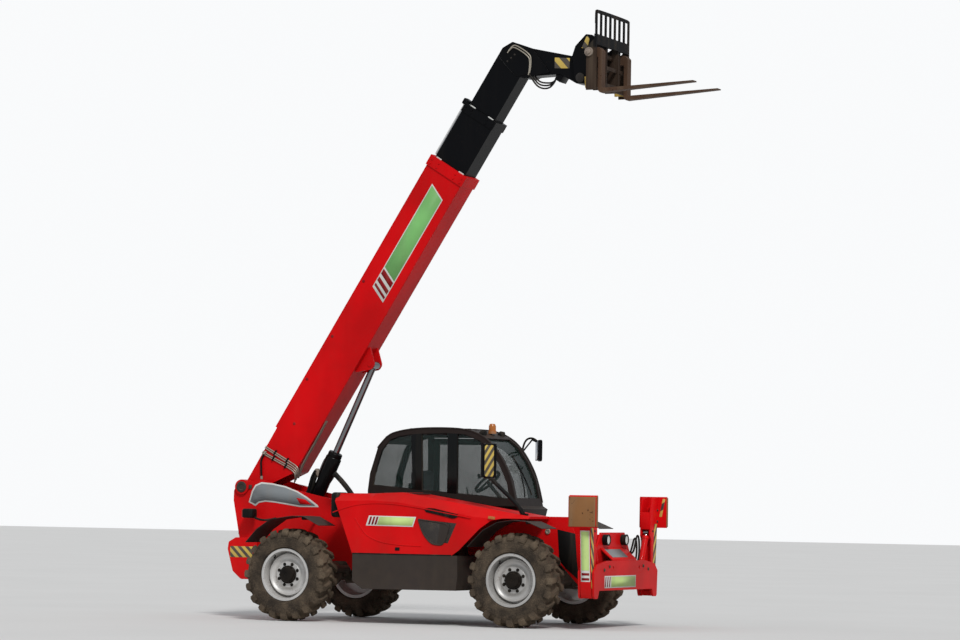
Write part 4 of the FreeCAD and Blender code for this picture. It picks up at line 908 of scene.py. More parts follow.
class Fitter:
    """What every sub-assembly does with its pieces."""

    def __init__(self, built: Built) -> None:
        """Keep the parts that the pieces sit on."""
        self.built = built

    def fit(self, piece: bpy.types.Object, body: str, finish: Finish, smooth: float = 35.0) -> bpy.types.Object:
        """Finish a piece and let it ride on a body.

        Args:
            piece: the piece.
            body: the body.
            finish: its finish.
            smooth: edges sharper than this stay sharp, in degrees.

        Returns:
            The piece.
        """
        Bench.take(piece)
        bpy.ops.object.shade_smooth_by_angle(angle=math.radians(smooth))
        piece.data.materials.clear()
        piece.data.materials.append(finish.material())
        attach(piece, body)
        LOG.info("%s: %s on %s, %d faces", piece.name, finish.name, body, len(piece.data.polygons))
        return piece


@dataclass
class Wheels(Fitter):
    """Tyres, rims and what is bolted to them."""

    built: Built
    axles: dict[str, float] = field(default_factory=lambda: {"front": 1.145, "rear": -1.925})
    track: float = 1.0
    hub_height: float = 0.575
    bolt_circle: float = 0.137
    bolt_count: int = 8
    disc_out: float = 0.075
    lug_count: int = 20
    side_out: float = 0.1845

    def build(self) -> None:
        """Dress the wheels and add nuts, hub plugs and valves."""
        self.built.dress(Finish.TYRE, "tyre_")
        self.built.dress(Finish.RIM, "rim_")
        for end, x in self.axles.items():
            for hand, side in (("left", 1), ("right", -1)):
                self.fastened(f"{end}_{hand}", Vector((x, side * self.track, self.hub_height)), side)

    def fastened(self, label: str, hub: Vector, side: int) -> None:
        """Add one wheel's nuts, hub face and valve.

        Args:
            label: which wheel.
            hub: the middle of the wheel.
            side: 1 on the left, -1 on the right.
        """
        out = Vector((0, side, 0))
        dish = Bench.lathe(
            f"wheel_disc_{label}", hub, out,
            [(0.006, 0.262), (0.064, 0.262), (0.074, 0.260), (0.079, 0.255), (0.079, 0.250), (0.070, 0.244), (0.056, 0.225),
             (0.047, 0.205), (0.048, 0.195), (0.058, 0.175), (0.070, 0.165), (0.075, 0.158), (0.075, 0.112), (0.040, 0.108)], 64,
        )
        self.fit(dish, f"wheel_{label}", Finish.RIM)
        self.shoulders(label, hub, side)
        nut = Bench.bolt(f"wheel_nuts_{label}", 0.0165)
        face = hub + out * self.disc_out
        frames = []
        for index in range(self.bolt_count):
            angle = 2 * math.pi * (index + 0.5) / self.bolt_count
            spot = face + Vector((math.cos(angle), 0, math.sin(angle))) * self.bolt_circle
            frames.append(standing(spot, out))
        self.fit(Bench.copies(nut, frames), f"wheel_{label}", Finish.SEAL)
        cap = Bench.lathe(
            f"hub_cover_{label}", hub, out,
            [(0.070, 0.111), (0.098, 0.111), (0.106, 0.106), (0.110, 0.094), (0.124, 0.090), (0.131, 0.083), (0.133, 0.070),
             (0.133, 0.030), (0.129, 0.028), (0.129, 0.012)], 32,
        )
        screw = Bench.bolt(f"hub_screws_{label}", 0.0075)
        ring = [2 * math.pi * index / 6 for index in range(6)]
        screws = Bench.copies(screw, [
            standing(hub + out * 0.1105 + Vector((math.cos(a), 0, math.sin(a))) * 0.100, out) for a in ring
        ])
        self.fit(Bench.joined(f"hub_cover_{label}", [cap, screws]), f"wheel_{label}", Finish.BLACK)
        turn = math.radians(128)
        foot = hub + out * 0.095 + Vector((math.cos(turn), 0, math.sin(turn))) * 0.285
        valve = Bench.lathe(f"valve_{label}", foot, out - Vector((math.cos(turn), 0, math.sin(turn))) * 0.5,
                            [(-0.03, 0.008), (0.03, 0.008), (0.034, 0.011), (0.058, 0.011), (0.062, 0.006)], 10)
        self.fit(valve, f"wheel_{label}", Finish.SEAL)

    def shoulders(self, label: str, hub: Vector, side: int) -> None:
        """Carry the tyre's lugs over its shoulders, down both side walls.

        Args:
            label: which wheel.
            hub: the middle of the wheel.
            side: 1 on the left, -1 on the right.
        """
        outline = [(-0.046, 0.552), (-0.045, 0.505), (-0.032, 0.462), (-0.014, 0.438), (0.014, 0.438), (0.032, 0.462), (0.045, 0.505),
                   (0.046, 0.552)]
        rib = Bench.plate(f"tyre_shoulders_{label}", outline, Plane.SIDE, self.side_out - 0.012, self.side_out + 0.013, 0.005)
        for vertex in rib.data.vertices:
            vertex.co.y -= 0.012 * min(max((vertex.co.z - 0.505) / 0.047, 0.0), 1.0) + 0.010 * max((0.47 - vertex.co.z) / 0.032, 0.0)
        frames = []
        for facing, lead in ((side, 0.0), (-side, 0.5)):
            for index in range(self.lug_count):
                turn = Matrix.Rotation(2 * math.pi * (index + lead) / self.lug_count, 4, "Y")
                frames.append(Matrix.Translation(hub) @ Matrix.Scale(facing, 4, (0, 1, 0)) @ turn)
        self.fit(Bench.copies(rib, frames), f"wheel_{label}", Finish.TYRE)


@dataclass
class Boom(Fitter):
    """Boom sections, their plates, pads, pipes and the hoses at the nose."""

    built: Built
    pivot: Point = (-2.978, 0.0, 1.664)
    rise: float = 58.0
    outer_half: float = 0.190
    mid_half: float = 0.160
    inner_half: float = 0.132
    nose_half: float = 0.110

    def __post_init__(self) -> None:
        """Work out the boom's own frame, along it, across it and square to it."""
        self.frame = Matrix.Translation(self.pivot) @ Matrix.Rotation(math.radians(-self.rise), 4, "Y")

    def at(self, along: float, across: float, up: float) -> Vector:
        """A place on the boom.

        Args:
            along: from the pivot.
            across: from the middle plane, to the left.
            up: square to the boom.

        Returns:
            The place in the machine's frame.
        """
        return self.frame @ Vector((along, across, up))

    def build(self) -> None:
        """Dress the sections and add their pieces."""
        self.built.dress(Finish.RED, "boom_outer")
        self.built.dress(Finish.BLACK, "boom_mid", "boom_inner", "boom_nose")
        self.plates()
        self.pads()
        self.pipes()
        self.nose()

    def side_plates(self, name: str, outline: list[Flat], out: float, thick: float, body: str, finish: Finish) -> None:
        """Put one plate on each side of the boom.

        Args:
            name: the plates' name.
            outline: corners along the boom and square to it.
            out: from the middle plane to the plates' inner face.
            thick: their thickness.
            body: the section they are on.
            finish: their finish.
        """
        plate = Bench.plate(name, outline, Plane.SIDE, out, out + thick, thick * 0.3)
        self.fit(Bench.copies(plate, [self.frame @ side for side in BOTH]), body, finish)

    def plates(self) -> None:
        """Add the bare sign plates with their bars, and the weld beads of the outer section."""
        half = self.outer_half
        self.side_plates("boom_sign_edge", [(4.617, -0.102), (4.515, -0.342), (2.992, -0.338), (3.089, -0.100)],
                         half + 0.0002, 0.0018, "boom_outer", Finish.WHITE)
        self.side_plates("boom_sign", [(4.594, -0.114), (4.503, -0.330), (3.300, -0.326), (3.388, -0.112)],
                         half + 0.0018, 0.0010, "boom_outer", Finish.PLATE)
        bars = []
        for start, wide in ((3.032, 0.035), (3.105, 0.055), (3.203, 0.072)):
            outline = [(start + 0.088, -0.112), (start + 0.088 + wide, -0.112), (start + wide, -0.327), (start, -0.326)]
            bars.append(Bench.plate("boom_sign_bar", outline, Plane.SIDE, half + 0.0018, half + 0.0028, 0.0003))
        joined = Bench.joined("boom_sign_bars", bars)
        self.fit(Bench.copies(joined, [self.frame @ side for side in BOTH]), "boom_outer", Finish.BARS)
        plug = Bench.lathe("boom_plugs", (0, 0, 0), (0, 1, 0), [(half - 0.002, 0.019), (half + 0.003, 0.019), (half + 0.006, 0.014)], 16)
        spots = [self.frame @ side @ Matrix.Translation((along, 0, up)) for side in BOTH
                 for along, up in ((1.035, -0.113), (1.61, 0.045), (2.26, 0.038), (3.08, 0.045))]
        self.fit(Bench.copies(plug, spots), "boom_outer", Finish.BARS)
        beads = []
        for low in (0.088, -0.455):
            beads.append(Bench.hose("boom_bead", [(0.9, half, low), (2.5, half, low), (4.78, half, low)], 0.0035, 2))
        self.fit(Bench.copies(Bench.joined("boom_beads", beads), [self.frame @ side for side in BOTH]), "boom_outer", Finish.RED)

    def pads(self) -> None:
        """Add the wear pads' bolts and shims at the mouths of the sections."""
        # body, bolt places along the boom, half width that they stand on, top and bottom rows
        rows = (
            ("boom_outer", (4.82, 4.88), self.outer_half + 0.014, (0.06, -0.05, -0.32, -0.43)),
            ("boom_mid", (5.62, 5.67), self.mid_half + 0.012, (0.035, -0.06, -0.31, -0.40)),
        )
        for body, places, half, heights in rows:
            bolt = Bench.bolt(f"{body}_pad_bolts", 0.011)
            frames = [
                self.frame @ side @ standing((along, half, up), (0, 1, 0))
                for side in BOTH for along in places for up in heights
            ]
            self.fit(Bench.copies(bolt, frames), body, Finish.BLACK if body == "boom_mid" else Finish.RED)
        for name, body, end, half, low, high in (
            ("outer_mouth_pads", "boom_outer", 4.925, self.mid_half, -0.426, 0.060),
            ("mid_mouth_pads", "boom_mid", 5.707, self.inner_half, -0.388, 0.022),
        ):
            pads = []
            for up in (high - 0.10, low + 0.02):
                pads.append(Bench.slab("mouth_pad", (end - 0.03, half + 0.002, up), (end + 0.012, half + 0.014, up + 0.08), 0.002))
            pads.append(Bench.slab("mouth_pad", (end - 0.03, 0.02, high + 0.002), (end + 0.012, half - 0.02, high + 0.012), 0.002))
            joined = Bench.joined(name, pads)
            self.fit(Bench.copies(joined, [self.frame @ side for side in BOTH]), body, Finish.WHITE)

    def pipes(self) -> None:
        """Add the pairs of steel pipes that cross the boom's foot, and the hose below them."""
        out = self.outer_half + 0.011
        runs = []
        for start, end in ((0.575, 0.600), (0.553, 0.572), (0.500, 0.545), (0.478, 0.520)):
            line = [(start, 0.10, 0.072), (start, out - 0.02, 0.072), (start, out, 0.070), (start, out, 0.045), (start + 0.004, out, -0.02),
                    (end, out, -0.36), (end, out, -0.43), (end - 0.01, out, -0.475), (end - 0.06, out - 0.02, -0.50), (end - 0.14, out - 0.08, -0.50)]
            runs.append(Bench.moved(Bench.hose("foot_pipe", line, 0.0075), self.frame @ ACROSS))
        self.fit(Bench.joined("boom_foot_pipes", runs), "boom_outer", Finish.ZINC)
        clips = [
            Bench.slab("pipe_clip", (0.545 + shift, self.outer_half, low), (0.615 + shift, out + 0.012, low + 0.022), 0.003)
            for shift, low in ((0.0, -0.10), (0.01, -0.30), (-0.075, -0.12), (-0.06, -0.32))
        ]
        self.fit(Bench.copies(Bench.joined("foot_pipe_clips", clips), [self.frame @ ACROSS]), "boom_outer", Finish.BLACK)
        line = [(0.50, out + 0.004, 0.03), (0.44, out + 0.01, 0.035), (0.385, out + 0.012, 0.02), (0.33, out + 0.012, -0.02),
                (0.25, out + 0.008, -0.07), (0.20, out, -0.105)]
        hose = Bench.hose("boom_foot_hose", line, 0.013)
        ends = [Bench.lathe("hose_end", line[0], (1, 0, 0), [(-0.02, 0.016), (0.02, 0.016), (0.024, 0.012)], 12),
                Bench.lathe("hose_end", line[-1], (-1, 0, -0.6), [(-0.03, 0.017), (0.012, 0.017), (0.016, 0.013)], 12)]
        self.fit(Bench.copies(hose, [self.frame @ ACROSS]), "boom_outer", Finish.HOSE)
        self.fit(Bench.copies(Bench.joined("boom_foot_unions", ends), [self.frame @ ACROSS]), "boom_outer", Finish.ZINC)
        spine = [
            Bench.hose("under_pipe", [(0.46, y * 0.7, -0.50), (0.60, y, -0.482), (0.80, y, -0.478), (1.10, y, -0.475), (1.30, y, -0.463)], 0.008)
            for y in (-0.155, -0.120)
        ]
        self.fit(Bench.copies(Bench.joined("boom_under_pipes", spine), [self.frame]), "boom_outer", Finish.TAN)
        tubes = [Bench.hose("back_tube", [(4.93, 0.012, 0.142), (5.3, 0.012, 0.142), (5.735, 0.012, 0.142)], 0.021, 4)]
        saddle = [Bench.slab("back_saddle", (5.60, -0.09, 0.052), (5.742, 0.09, 0.112), 0.012, 3),
                  Bench.slab("back_clamp", (5.66, -0.055, 0.10), (5.742, 0.055, 0.172), 0.016, 3)]
        self.fit(Bench.copies(Bench.joined("boom_back_saddle", saddle), [self.frame]), "boom_mid", Finish.BLACK)
        self.fit(Bench.copies(Bench.joined("boom_back_tube", tubes), [self.frame]), "boom_mid", Finish.RIM)
        rod = Bench.hose("boom_back_rod", [(4.93, -0.032, 0.120), (5.3, -0.032, 0.120), (5.70, -0.032, 0.120)], 0.010)
        self.fit(Bench.copies(rod, [self.frame]), "boom_mid", Finish.CHROME)

    def nose(self) -> None:
        """Add the stripes, elbow pipes, hoses and tilt cylinder block at the boom's nose."""
        stripes = [(6.79, -0.655), (6.885, -0.835), (6.775, -0.900), (6.675, -0.725)]
        self.side_plates("nose_stripes", stripes, self.nose_half + 0.0003, 0.0015, "boom_inner", Finish.BROAD)
        beads = [Bench.hose("elbow_bead", [(6.43, self.inner_half, 0.02), (6.395, self.inner_half, -0.07), (6.33, self.inner_half, -0.30),
                                           (6.345, self.inner_half, -0.36), (6.43, self.inner_half, -0.45)], 0.006)]
        self.fit(Bench.copies(Bench.joined("elbow_beads", beads), [self.frame @ side for side in BOTH]), "boom_inner", Finish.BLACK)
        out = self.inner_half + 0.009
        pipes = []
        for shift in (0.0, 0.030):
            line = [(6.55 - shift, out, -0.075), (6.625 - shift, out, -0.085), (6.66 - shift, out, -0.115), (6.665 - shift, out, -0.25),
                    (6.655 - shift, out, -0.345), (6.63 - shift, out, -0.39), (6.52 - shift, out, -0.455), (6.46 - shift, out, -0.475)]
            pipes.append(Bench.hose("elbow_pipe", line, 0.008))
        self.fit(Bench.copies(Bench.joined("elbow_pipes", pipes), [self.frame @ ACROSS]), "boom_inner", Finish.ZINC)
        hoses = []
        for sag, shift, across in ((0.10, 0.0, 0.132), (0.075, 0.03, 0.118), (0.055, 0.06, 0.10)):
            line = [
                (6.45 + shift, across, -0.47), (6.41 + shift, across, -0.50 - sag * 0.4), (6.36 + shift, across - 0.01, -0.58 - sag),
                (6.42 + shift, across - 0.02, -0.70 - sag), (6.52, across - 0.03, -0.76 - sag * 0.6), (6.60, across - 0.04, -0.80),
                (6.66, across - 0.05, -0.815),
            ]
            hoses.append(Bench.hose("nose_hose", line, 0.011))
        self.fit(Bench.copies(Bench.joined("nose_hoses", hoses), [self.frame @ ACROSS]), "boom_inner", Finish.HOSE)
        block = [Bench.slab("nose_block", (6.56, -0.10, -0.88), (6.68, 0.10, -0.79), 0.008),
                 Bench.slab("nose_block_foot", (6.60, -0.06, -0.81), (6.66, 0.06, -0.76), 0.006)]
        self.fit(Bench.copies(Bench.joined("nose_valve_block", block), [self.frame]), "boom_inner", Finish.BLACK)
        bolts = [self.frame @ side @ standing((6.43 + 0.06 * i, self.inner_half, -0.13 - 0.02 * i), (0, 1, 0))
                 for side in BOTH for i in range(3)]
        self.fit(Bench.copies(Bench.bolt("elbow_bolts", 0.010), bolts), "boom_inner", Finish.CAST)


@dataclass
class LiftCylinder(Fitter):
    """The lift cylinder with its valve block, steel pipe and hoses."""

    built: Built
    base: Point = (-2.475, 0.0, 0.700)
    eye: Point = (-1.3075, 0.0, 3.2391)
    barrel_radius: float = 0.080
    barrel_length: float = 1.56

    def build(self) -> None:
        """Dress the cylinder and add its pieces."""
        self.built.dress(Finish.BLACK, "lift_barrel")
        self.built.dress(Finish.CHROME, "lift_rod")
        along = (Vector(self.eye) - Vector(self.base)).normalized()
        angle = math.atan2(along.z, along.x)
        frame = Matrix.Translation(self.base) @ Matrix.Rotation(-angle, 4, "Y")
        gland = Bench.lathe("lift_gland", (0, 0, 0), (1, 0, 0),
                            [(1.50, 0.084), (1.505, 0.092), (1.548, 0.092), (1.556, 0.086), (1.562, 0.060), (1.566, 0.048)], 28)
        self.fit(Bench.moved(gland, frame), "lift_barrel", Finish.BLACK)
        sleeve = Bench.lathe("lift_sleeve", (0, 0, 0), (1, 0, 0), [(0.16, 0.082), (0.17, 0.088), (1.16, 0.088), (1.24, 0.102), (1.485, 0.102), (1.500, 0.092)], 32)
        self.fit(Bench.moved(sleeve, frame), "lift_barrel", Finish.BLACK)
        outline = [(1.160, 0.072), (1.225, 0.072), (1.268, 0.150), (1.258, 0.164), (1.228, 0.164)]
        block = Bench.plate("lift_valve", outline, Plane.SIDE, -0.040, 0.040, 0.006)
        self.fit(Bench.moved(block, frame), "lift_barrel", Finish.TAN)
        pipe = Bench.hose("lift_pipe", [(1.21, 0.05, 0.10), (1.17, 0.05, 0.100), (1.0, 0.05, 0.092), (0.3, 0.05, 0.092), (0.2, 0.05, 0.090),
                                        (0.16, 0.05, 0.06)], 0.010)
        rise = Bench.hose("lift_rise", [(1.26, -0.02, 0.10), (1.31, -0.02, 0.105), (1.45, -0.02, 0.100), (1.49, -0.02, 0.07)], 0.010)
        self.fit(Bench.moved(Bench.joined("lift_pipes", [pipe, rise]), frame), "lift_barrel", Finish.CHROME)
        hoses = []
        for across, start, out, sag in ((-0.045, 1.240, 0.146, 0.010), (-0.015, 1.225, 0.136, 0.012), (0.015, 1.210, 0.124, 0.012),
                                        (-0.030, 1.195, 0.110, 0.012), (0.045, 1.215, 0.134, 0.010)):
            line = [(start, across, out), (start - 0.05, across, out + sag), (1.12, across, out + sag), (0.96, across, out - 0.02),
                    (0.72, across, 0.125 + out * 0.12), (0.46, across, 0.118), (0.30, across * 0.8, 0.112), (0.22, across * 0.6, 0.098)]
            hoses.append(Bench.hose("lift_hose", line, 0.017))
        self.fit(Bench.moved(Bench.joined("lift_hoses", hoses), frame), "lift_barrel", Finish.HOSE)
        turns = [2 * math.pi * i / 24 for i in range(25)]
        straps = [Bench.hose("lift_strap", [(x, 0.089 * math.sin(t), 0.089 * math.cos(t)) for t in turns], 0.006, 2) for x in (0.35, 0.80)]
        self.fit(Bench.moved(Bench.joined("lift_straps", straps), frame), "lift_barrel", Finish.ZINC)


@dataclass
class Carriage(Fitter):
    """Quick hitch, fork frame and forks, with stripes, lock lever and stops."""

    built: Built
    pivot: Point = (1.5547, 0.0, 6.8005)
    hitch_half: float = 0.185
    frame_half: float = 0.550

    def build(self) -> None:
        """Dress the carriage and add its pieces."""
        self.built.dress(Finish.BLACK, "quick_hitch", "carriage_pin")
        self.built.dress(Finish.FRAME, "fork_frame")
        self.built.dress(Finish.FORK, "fork_left", "fork_right")
        frame = Matrix.Translation(self.pivot)
        stripe = Bench.plate("hitch_stripes", [(0.012, 0.372), (0.085, 0.350), (0.115, 0.480), (0.100, 0.512), (0.075, 0.510)], Plane.SIDE,
                             self.hitch_half + 0.0003, self.hitch_half + 0.002, 0.0005)
        self.fit(Bench.copies(stripe, [frame @ side for side in BOTH]), "carriage", Finish.BROAD)
        boss = Bench.lathe("hitch_boss", (0.135, self.hitch_half, 0.300), (0, 1, 0),
                           [(-0.002, 0.062), (0.022, 0.062), (0.028, 0.056), (0.028, 0.038), (0.034, 0.036), (0.036, 0.020)], 28)
        pin = Bench.lathe("tilt_pin_cap", (0.0, self.hitch_half, 0.0), (0, 1, 0),
                          [(0.0, 0.058), (0.016, 0.058), (0.020, 0.052), (0.020, 0.034)], 28)
        bosses = Bench.copies(Bench.joined("hitch_bosses", [boss, pin]), [frame @ side for side in BOTH])
        self.fit(bosses, "carriage", Finish.CAST)
        nuts = Bench.lathe("shaft_nuts", (0.262, self.frame_half + 0.011, 0.268), (0, 1, 0),
                           [(-0.01, 0.056), (0.006, 0.056), (0.012, 0.052), (0.012, 0.032), (0.026, 0.030), (0.030, 0.024)], 28)
        self.fit(Bench.copies(nuts, [frame @ side for side in BOTH]), "carriage", Finish.TAN)
        yellow = Bench.plate("hitch_bracket", [(0.185, -0.030), (0.250, -0.030), (0.320, -0.075), (0.320, -0.165), (0.195, -0.170)], Plane.SIDE,
                             0.470, 0.500, 0.003)
        self.fit(Bench.copies(yellow, [frame @ side for side in BOTH]), "carriage", Finish.YELLOW)
        lever = Bench.hose("lock_lever", [(0.20, -0.20, 0.20), (0.22, -0.26, 0.20), (0.24, -0.30, 0.22), (0.24, -0.31, 0.30)], 0.009)
        lower = Bench.hose("lock_rod", [(0.235, -0.17, 0.10), (0.235, 0.0, 0.10), (0.235, 0.17, 0.10)], 0.012)
        self.fit(Bench.moved(Bench.joined("hitch_lock", [lever, lower]), frame), "carriage", Finish.CAST)
        cross = [Bench.slab("frame_cross", (0.305, y - 0.012, -0.10), (0.335, y + 0.012, 0.40), 0.003) for y in (-0.30, 0.30)]
        cross.append(Bench.slab("frame_middle_rail", (0.312, -0.54, 0.085), (0.340, 0.54, 0.135), 0.004))
        self.fit(Bench.moved(Bench.joined("frame_braces", cross), frame), "carriage", Finish.FRAME)
        arch = [(0.345, y, z) for y, z in ((-0.545, 0.62), (-0.545, 0.74), (-0.535, 0.772), (-0.50, 0.786), (0.50, 0.786), (0.535, 0.772),
                                           (0.545, 0.74), (0.545, 0.62))]
        self.fit(Bench.moved(Bench.hose("backrest_hoop", arch, 0.013), frame), "carriage", Finish.FRAME)
        keeper = Bench.slab("fork_keeper", (0.245, -0.012, 0.285), (0.280, 0.012, 0.345), 0.003)
        frames = [frame @ Matrix.Translation((0, y, 0)) for y in (-0.505, -0.355, 0.355, 0.505)]
        self.fit(Bench.copies(keeper, frames), "carriage", Finish.CAST)


@dataclass
class Cab(Fitter):
    """Cab shell, glass, door and fittings, with the seat inside."""

    built: Built
    inner: float = 0.280
    outer: float = 1.150

    def build(self) -> None:
        """Dress the cab and add its pieces."""
        self.built.dress(Finish.CAB, "cab_frame", "cab_door")
        self.built.dress(Finish.PLASTIC, "console", "seat_base")
        self.built.dress(Finish.GLASS, "cab_glass", "door_glass")
        self.built.dress(Finish.CLOTH, "seat_pads")
        self.pillars()
        self.seals()
        self.fittings()
        self.seat()

    def pillars(self) -> None:
        """Cover the right side's inner pillars and margins with black-printed glass."""
        masks = [
            [(1.060, 1.669), (1.030, 2.366), (1.170, 2.376), (1.190, 1.659)],
            [(1.545, 1.630), (1.540, 2.384), (1.672, 2.380), (1.680, 1.620)],
        ]
        pieces = [Bench.plate("pillar_mask", drawn(*mask), Plane.SIDE, self.inner - 0.004, self.inner - 0.0005, 0.001) for mask in masks]
        self.fit(Bench.joined("pillar_masks", pieces), "chassis", Finish.GLOSS)

    def seals(self) -> None:
        """Run rubber seals round the windows."""
        rear = [(0.495, 1.714), (0.516, 1.850), (0.612, 2.155), (0.712, 2.290), (0.868, 2.345), (1.030, 2.366), (1.060, 1.669)]
        middle = [(1.190, 1.659), (1.170, 2.376), (1.540, 2.384), (1.545, 1.630)]
        front = [(1.680, 1.620), (1.672, 2.380), (1.785, 2.370), (1.980, 2.298), (2.125, 2.183), (2.258, 2.003), (2.372, 1.762), (2.408, 1.562)]
        quarter = [(0.495, 1.560), (0.516, 1.850), (0.612, 2.155), (0.712, 2.290), (0.880, 2.340), (0.900, 1.560)]
        door = [(1.035, 1.340), (1.035, 2.262), (1.785, 2.262), (1.940, 2.198), (2.060, 2.098), (2.172, 1.940), (2.278, 1.712),
                (2.330, 1.470), (2.270, 1.340)]
        groups = (
            ("right_seals", "chassis", self.inner + 0.016, (rear, middle, front)),
            ("quarter_seal", "chassis", self.outer - 0.018, (quarter,)),
            ("door_seal", "door", self.outer - 0.015, (door,)),
        )
        for name, body, across, panes in groups:
            seals = []
            for pane in panes:
                line = [(x, across, z) for x, z in drawn(*pane)]
                closed = []
                for here, there in zip(line, line[1:] + line[:1]):
                    a, b = Vector(here), Vector(there)
                    closed += [tuple(a), tuple(a.lerp(b, 0.04)), tuple(a.lerp(b, 0.96))]
                seals.append(Bench.hose("seal", closed + [closed[0]], 0.0085, 2))
            self.fit(Bench.joined(name, seals), body, Finish.SEAL)

    def fittings(self) -> None:
        """Add the wiper, door handle, roof strips and gutters, work lamps, grip knob and joystick set."""
        arm = Bench.hose("wiper_arm", [(0.545, 0.62, 1.585), (0.535, 0.64, 1.66), (0.485, 0.68, 1.80), (0.425, 0.72, 1.96)], 0.007)
        blade = Bench.hose("wiper_blade", [(0.565, 0.80, 1.62), (0.50, 0.76, 1.80), (0.41, 0.72, 1.99), (0.33, 0.69, 2.12)], 0.009)
        self.fit(Bench.joined("screen_wiper", [arm, blade]), "chassis", Finish.SEAL)
        grip = Bench.hose("door_grip", [(0.115, self.outer + 0.0, 1.40), (0.115, self.outer + 0.04, 1.42), (0.115, self.outer + 0.045, 1.55),
                                        (0.115, self.outer + 0.04, 1.68), (0.115, self.outer, 1.70)], 0.010)
        grip = Bench.moved(grip, Matrix.Translation((-0.62, 0, 0)))
        self.fit(grip, "door", Finish.SEAL)
        ribs = [Bench.slab("roof_rib", (ahead(0.95), y - 0.012, 2.418), (ahead(1.80), y + 0.012, 2.449), 0.006) for y in (0.42, 0.60, 0.90, 1.04)]
        self.fit(Bench.joined("roof_ribs", ribs), "chassis", Finish.CAB)
        lips = [Bench.hose("roof_gutter", [(ahead(x), y, z + 0.004) for x, z in (
            (0.556, 2.187), (0.673, 2.341), (0.850, 2.405), (1.128, 2.442), (1.502, 2.449), (1.797, 2.433), (2.012, 2.359), (2.169, 2.235),
            (2.310, 2.042), (2.430, 1.795), (2.490, 1.520))], 0.012) for y in (self.inner + 0.005, self.outer - 0.005)]
        self.fit(Bench.joined("roof_gutters", lips), "chassis", Finish.CAB)
        front = Bench.lathe("work_lamp", (0.02, 0.42, 2.385), (1, 0, -0.25), [(-0.02, 0.03), (0.0, 0.048), (0.05, 0.052), (0.055, 0.046)], 20)
        self.fit(Bench.copies(front, [Matrix.Identity(4), Matrix.Translation((0, 0.58, 0))]), "chassis", Finish.SEAL)
        wheel = Bench.hose("grip_knob", [(-0.12, 0.69, 1.82), (-0.125, 0.69, 1.86), (-0.13, 0.69, 1.875)], 0.018)
        self.fit(wheel, "chassis", Finish.SEAL)
        stick = Bench.hose("joystick", [(ahead(1.52), 0.46, 1.30), (ahead(1.53), 0.46, 1.42), (ahead(1.51), 0.46, 1.46)], 0.011)
        knob = Bench.lathe("joystick_knob", (ahead(1.51), 0.46, 1.45), (0, 0, 1),
                           [(0, 0.014), (0.015, 0.026), (0.06, 0.030), (0.09, 0.024), (0.098, 0.012)], 16)
        box = Bench.slab("arm_box", (ahead(1.18), 0.40, 1.05), (ahead(1.62), 0.47, 1.31), 0.02, 3)
        self.fit(Bench.joined("joystick_set", [stick, knob, box]), "chassis", Finish.SEAL)

    def seat(self) -> None:
        """Replace the seat's blocks with padded cushions, blown up and sewn."""
        bottom = self.cushion("seat_cushion", (ahead(0.945), 0.485, 1.240), (ahead(1.445), 0.935, 1.335), 0.0)
        back = self.cushion("seat_back", (ahead(0.925), 0.495, 1.385), (ahead(1.065), 0.925, 1.925), 0.0)
        whole = Bench.joined("seat_pads_sewn", [bottom, back])
        self.fit(whole, "chassis", Finish.CLOTH, 60)
        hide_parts("seat_pads")

    def cushion(self, name: str, low: Point, high: Point, lean: float) -> bpy.types.Object:
        """Make one cushion by blowing up a soft block.

        Args:
            name: the cushion's name.
            low: its lowest corner.
            high: its highest corner.
            lean: not used.

        Returns:
            The cushion.
        """
        piece = Bench.slab(name, low, high, 0.035, 4)
        Bench.take(piece)
        remesh = piece.modifiers.new("even", "REMESH")
        remesh.mode = "VOXEL"
        remesh.voxel_size = 0.008
        bpy.ops.object.modifier_apply(modifier="even")
        before = [v.co.copy() for v in piece.data.vertices]
        cloth = piece.modifiers.new("filling", "CLOTH")
        cloth.settings.use_pressure = True
        cloth.settings.uniform_pressure_force = 4.0
        cloth.settings.effector_weights.gravity = 0.0
        cloth.settings.quality = 5
        scene = bpy.context.scene
        for step in range(1, 21):
            scene.frame_set(step)
        evaluated = piece.evaluated_get(bpy.context.evaluated_depsgraph_get())
        after = [v.co.copy() for v in evaluated.data.vertices]
        piece.modifiers.remove(cloth)
        scene.frame_set(1)
        for vertex, was, new in zip(piece.data.vertices, before, after):
            shift = new - was
            vertex.co = was + (shift.normalized() * min(shift.length, 0.022) if shift.length else shift)
        smooth = piece.modifiers.new("relax", "SMOOTH")
        smooth.iterations = 6
        bpy.ops.object.modifier_apply(modifier="relax")
        return piece


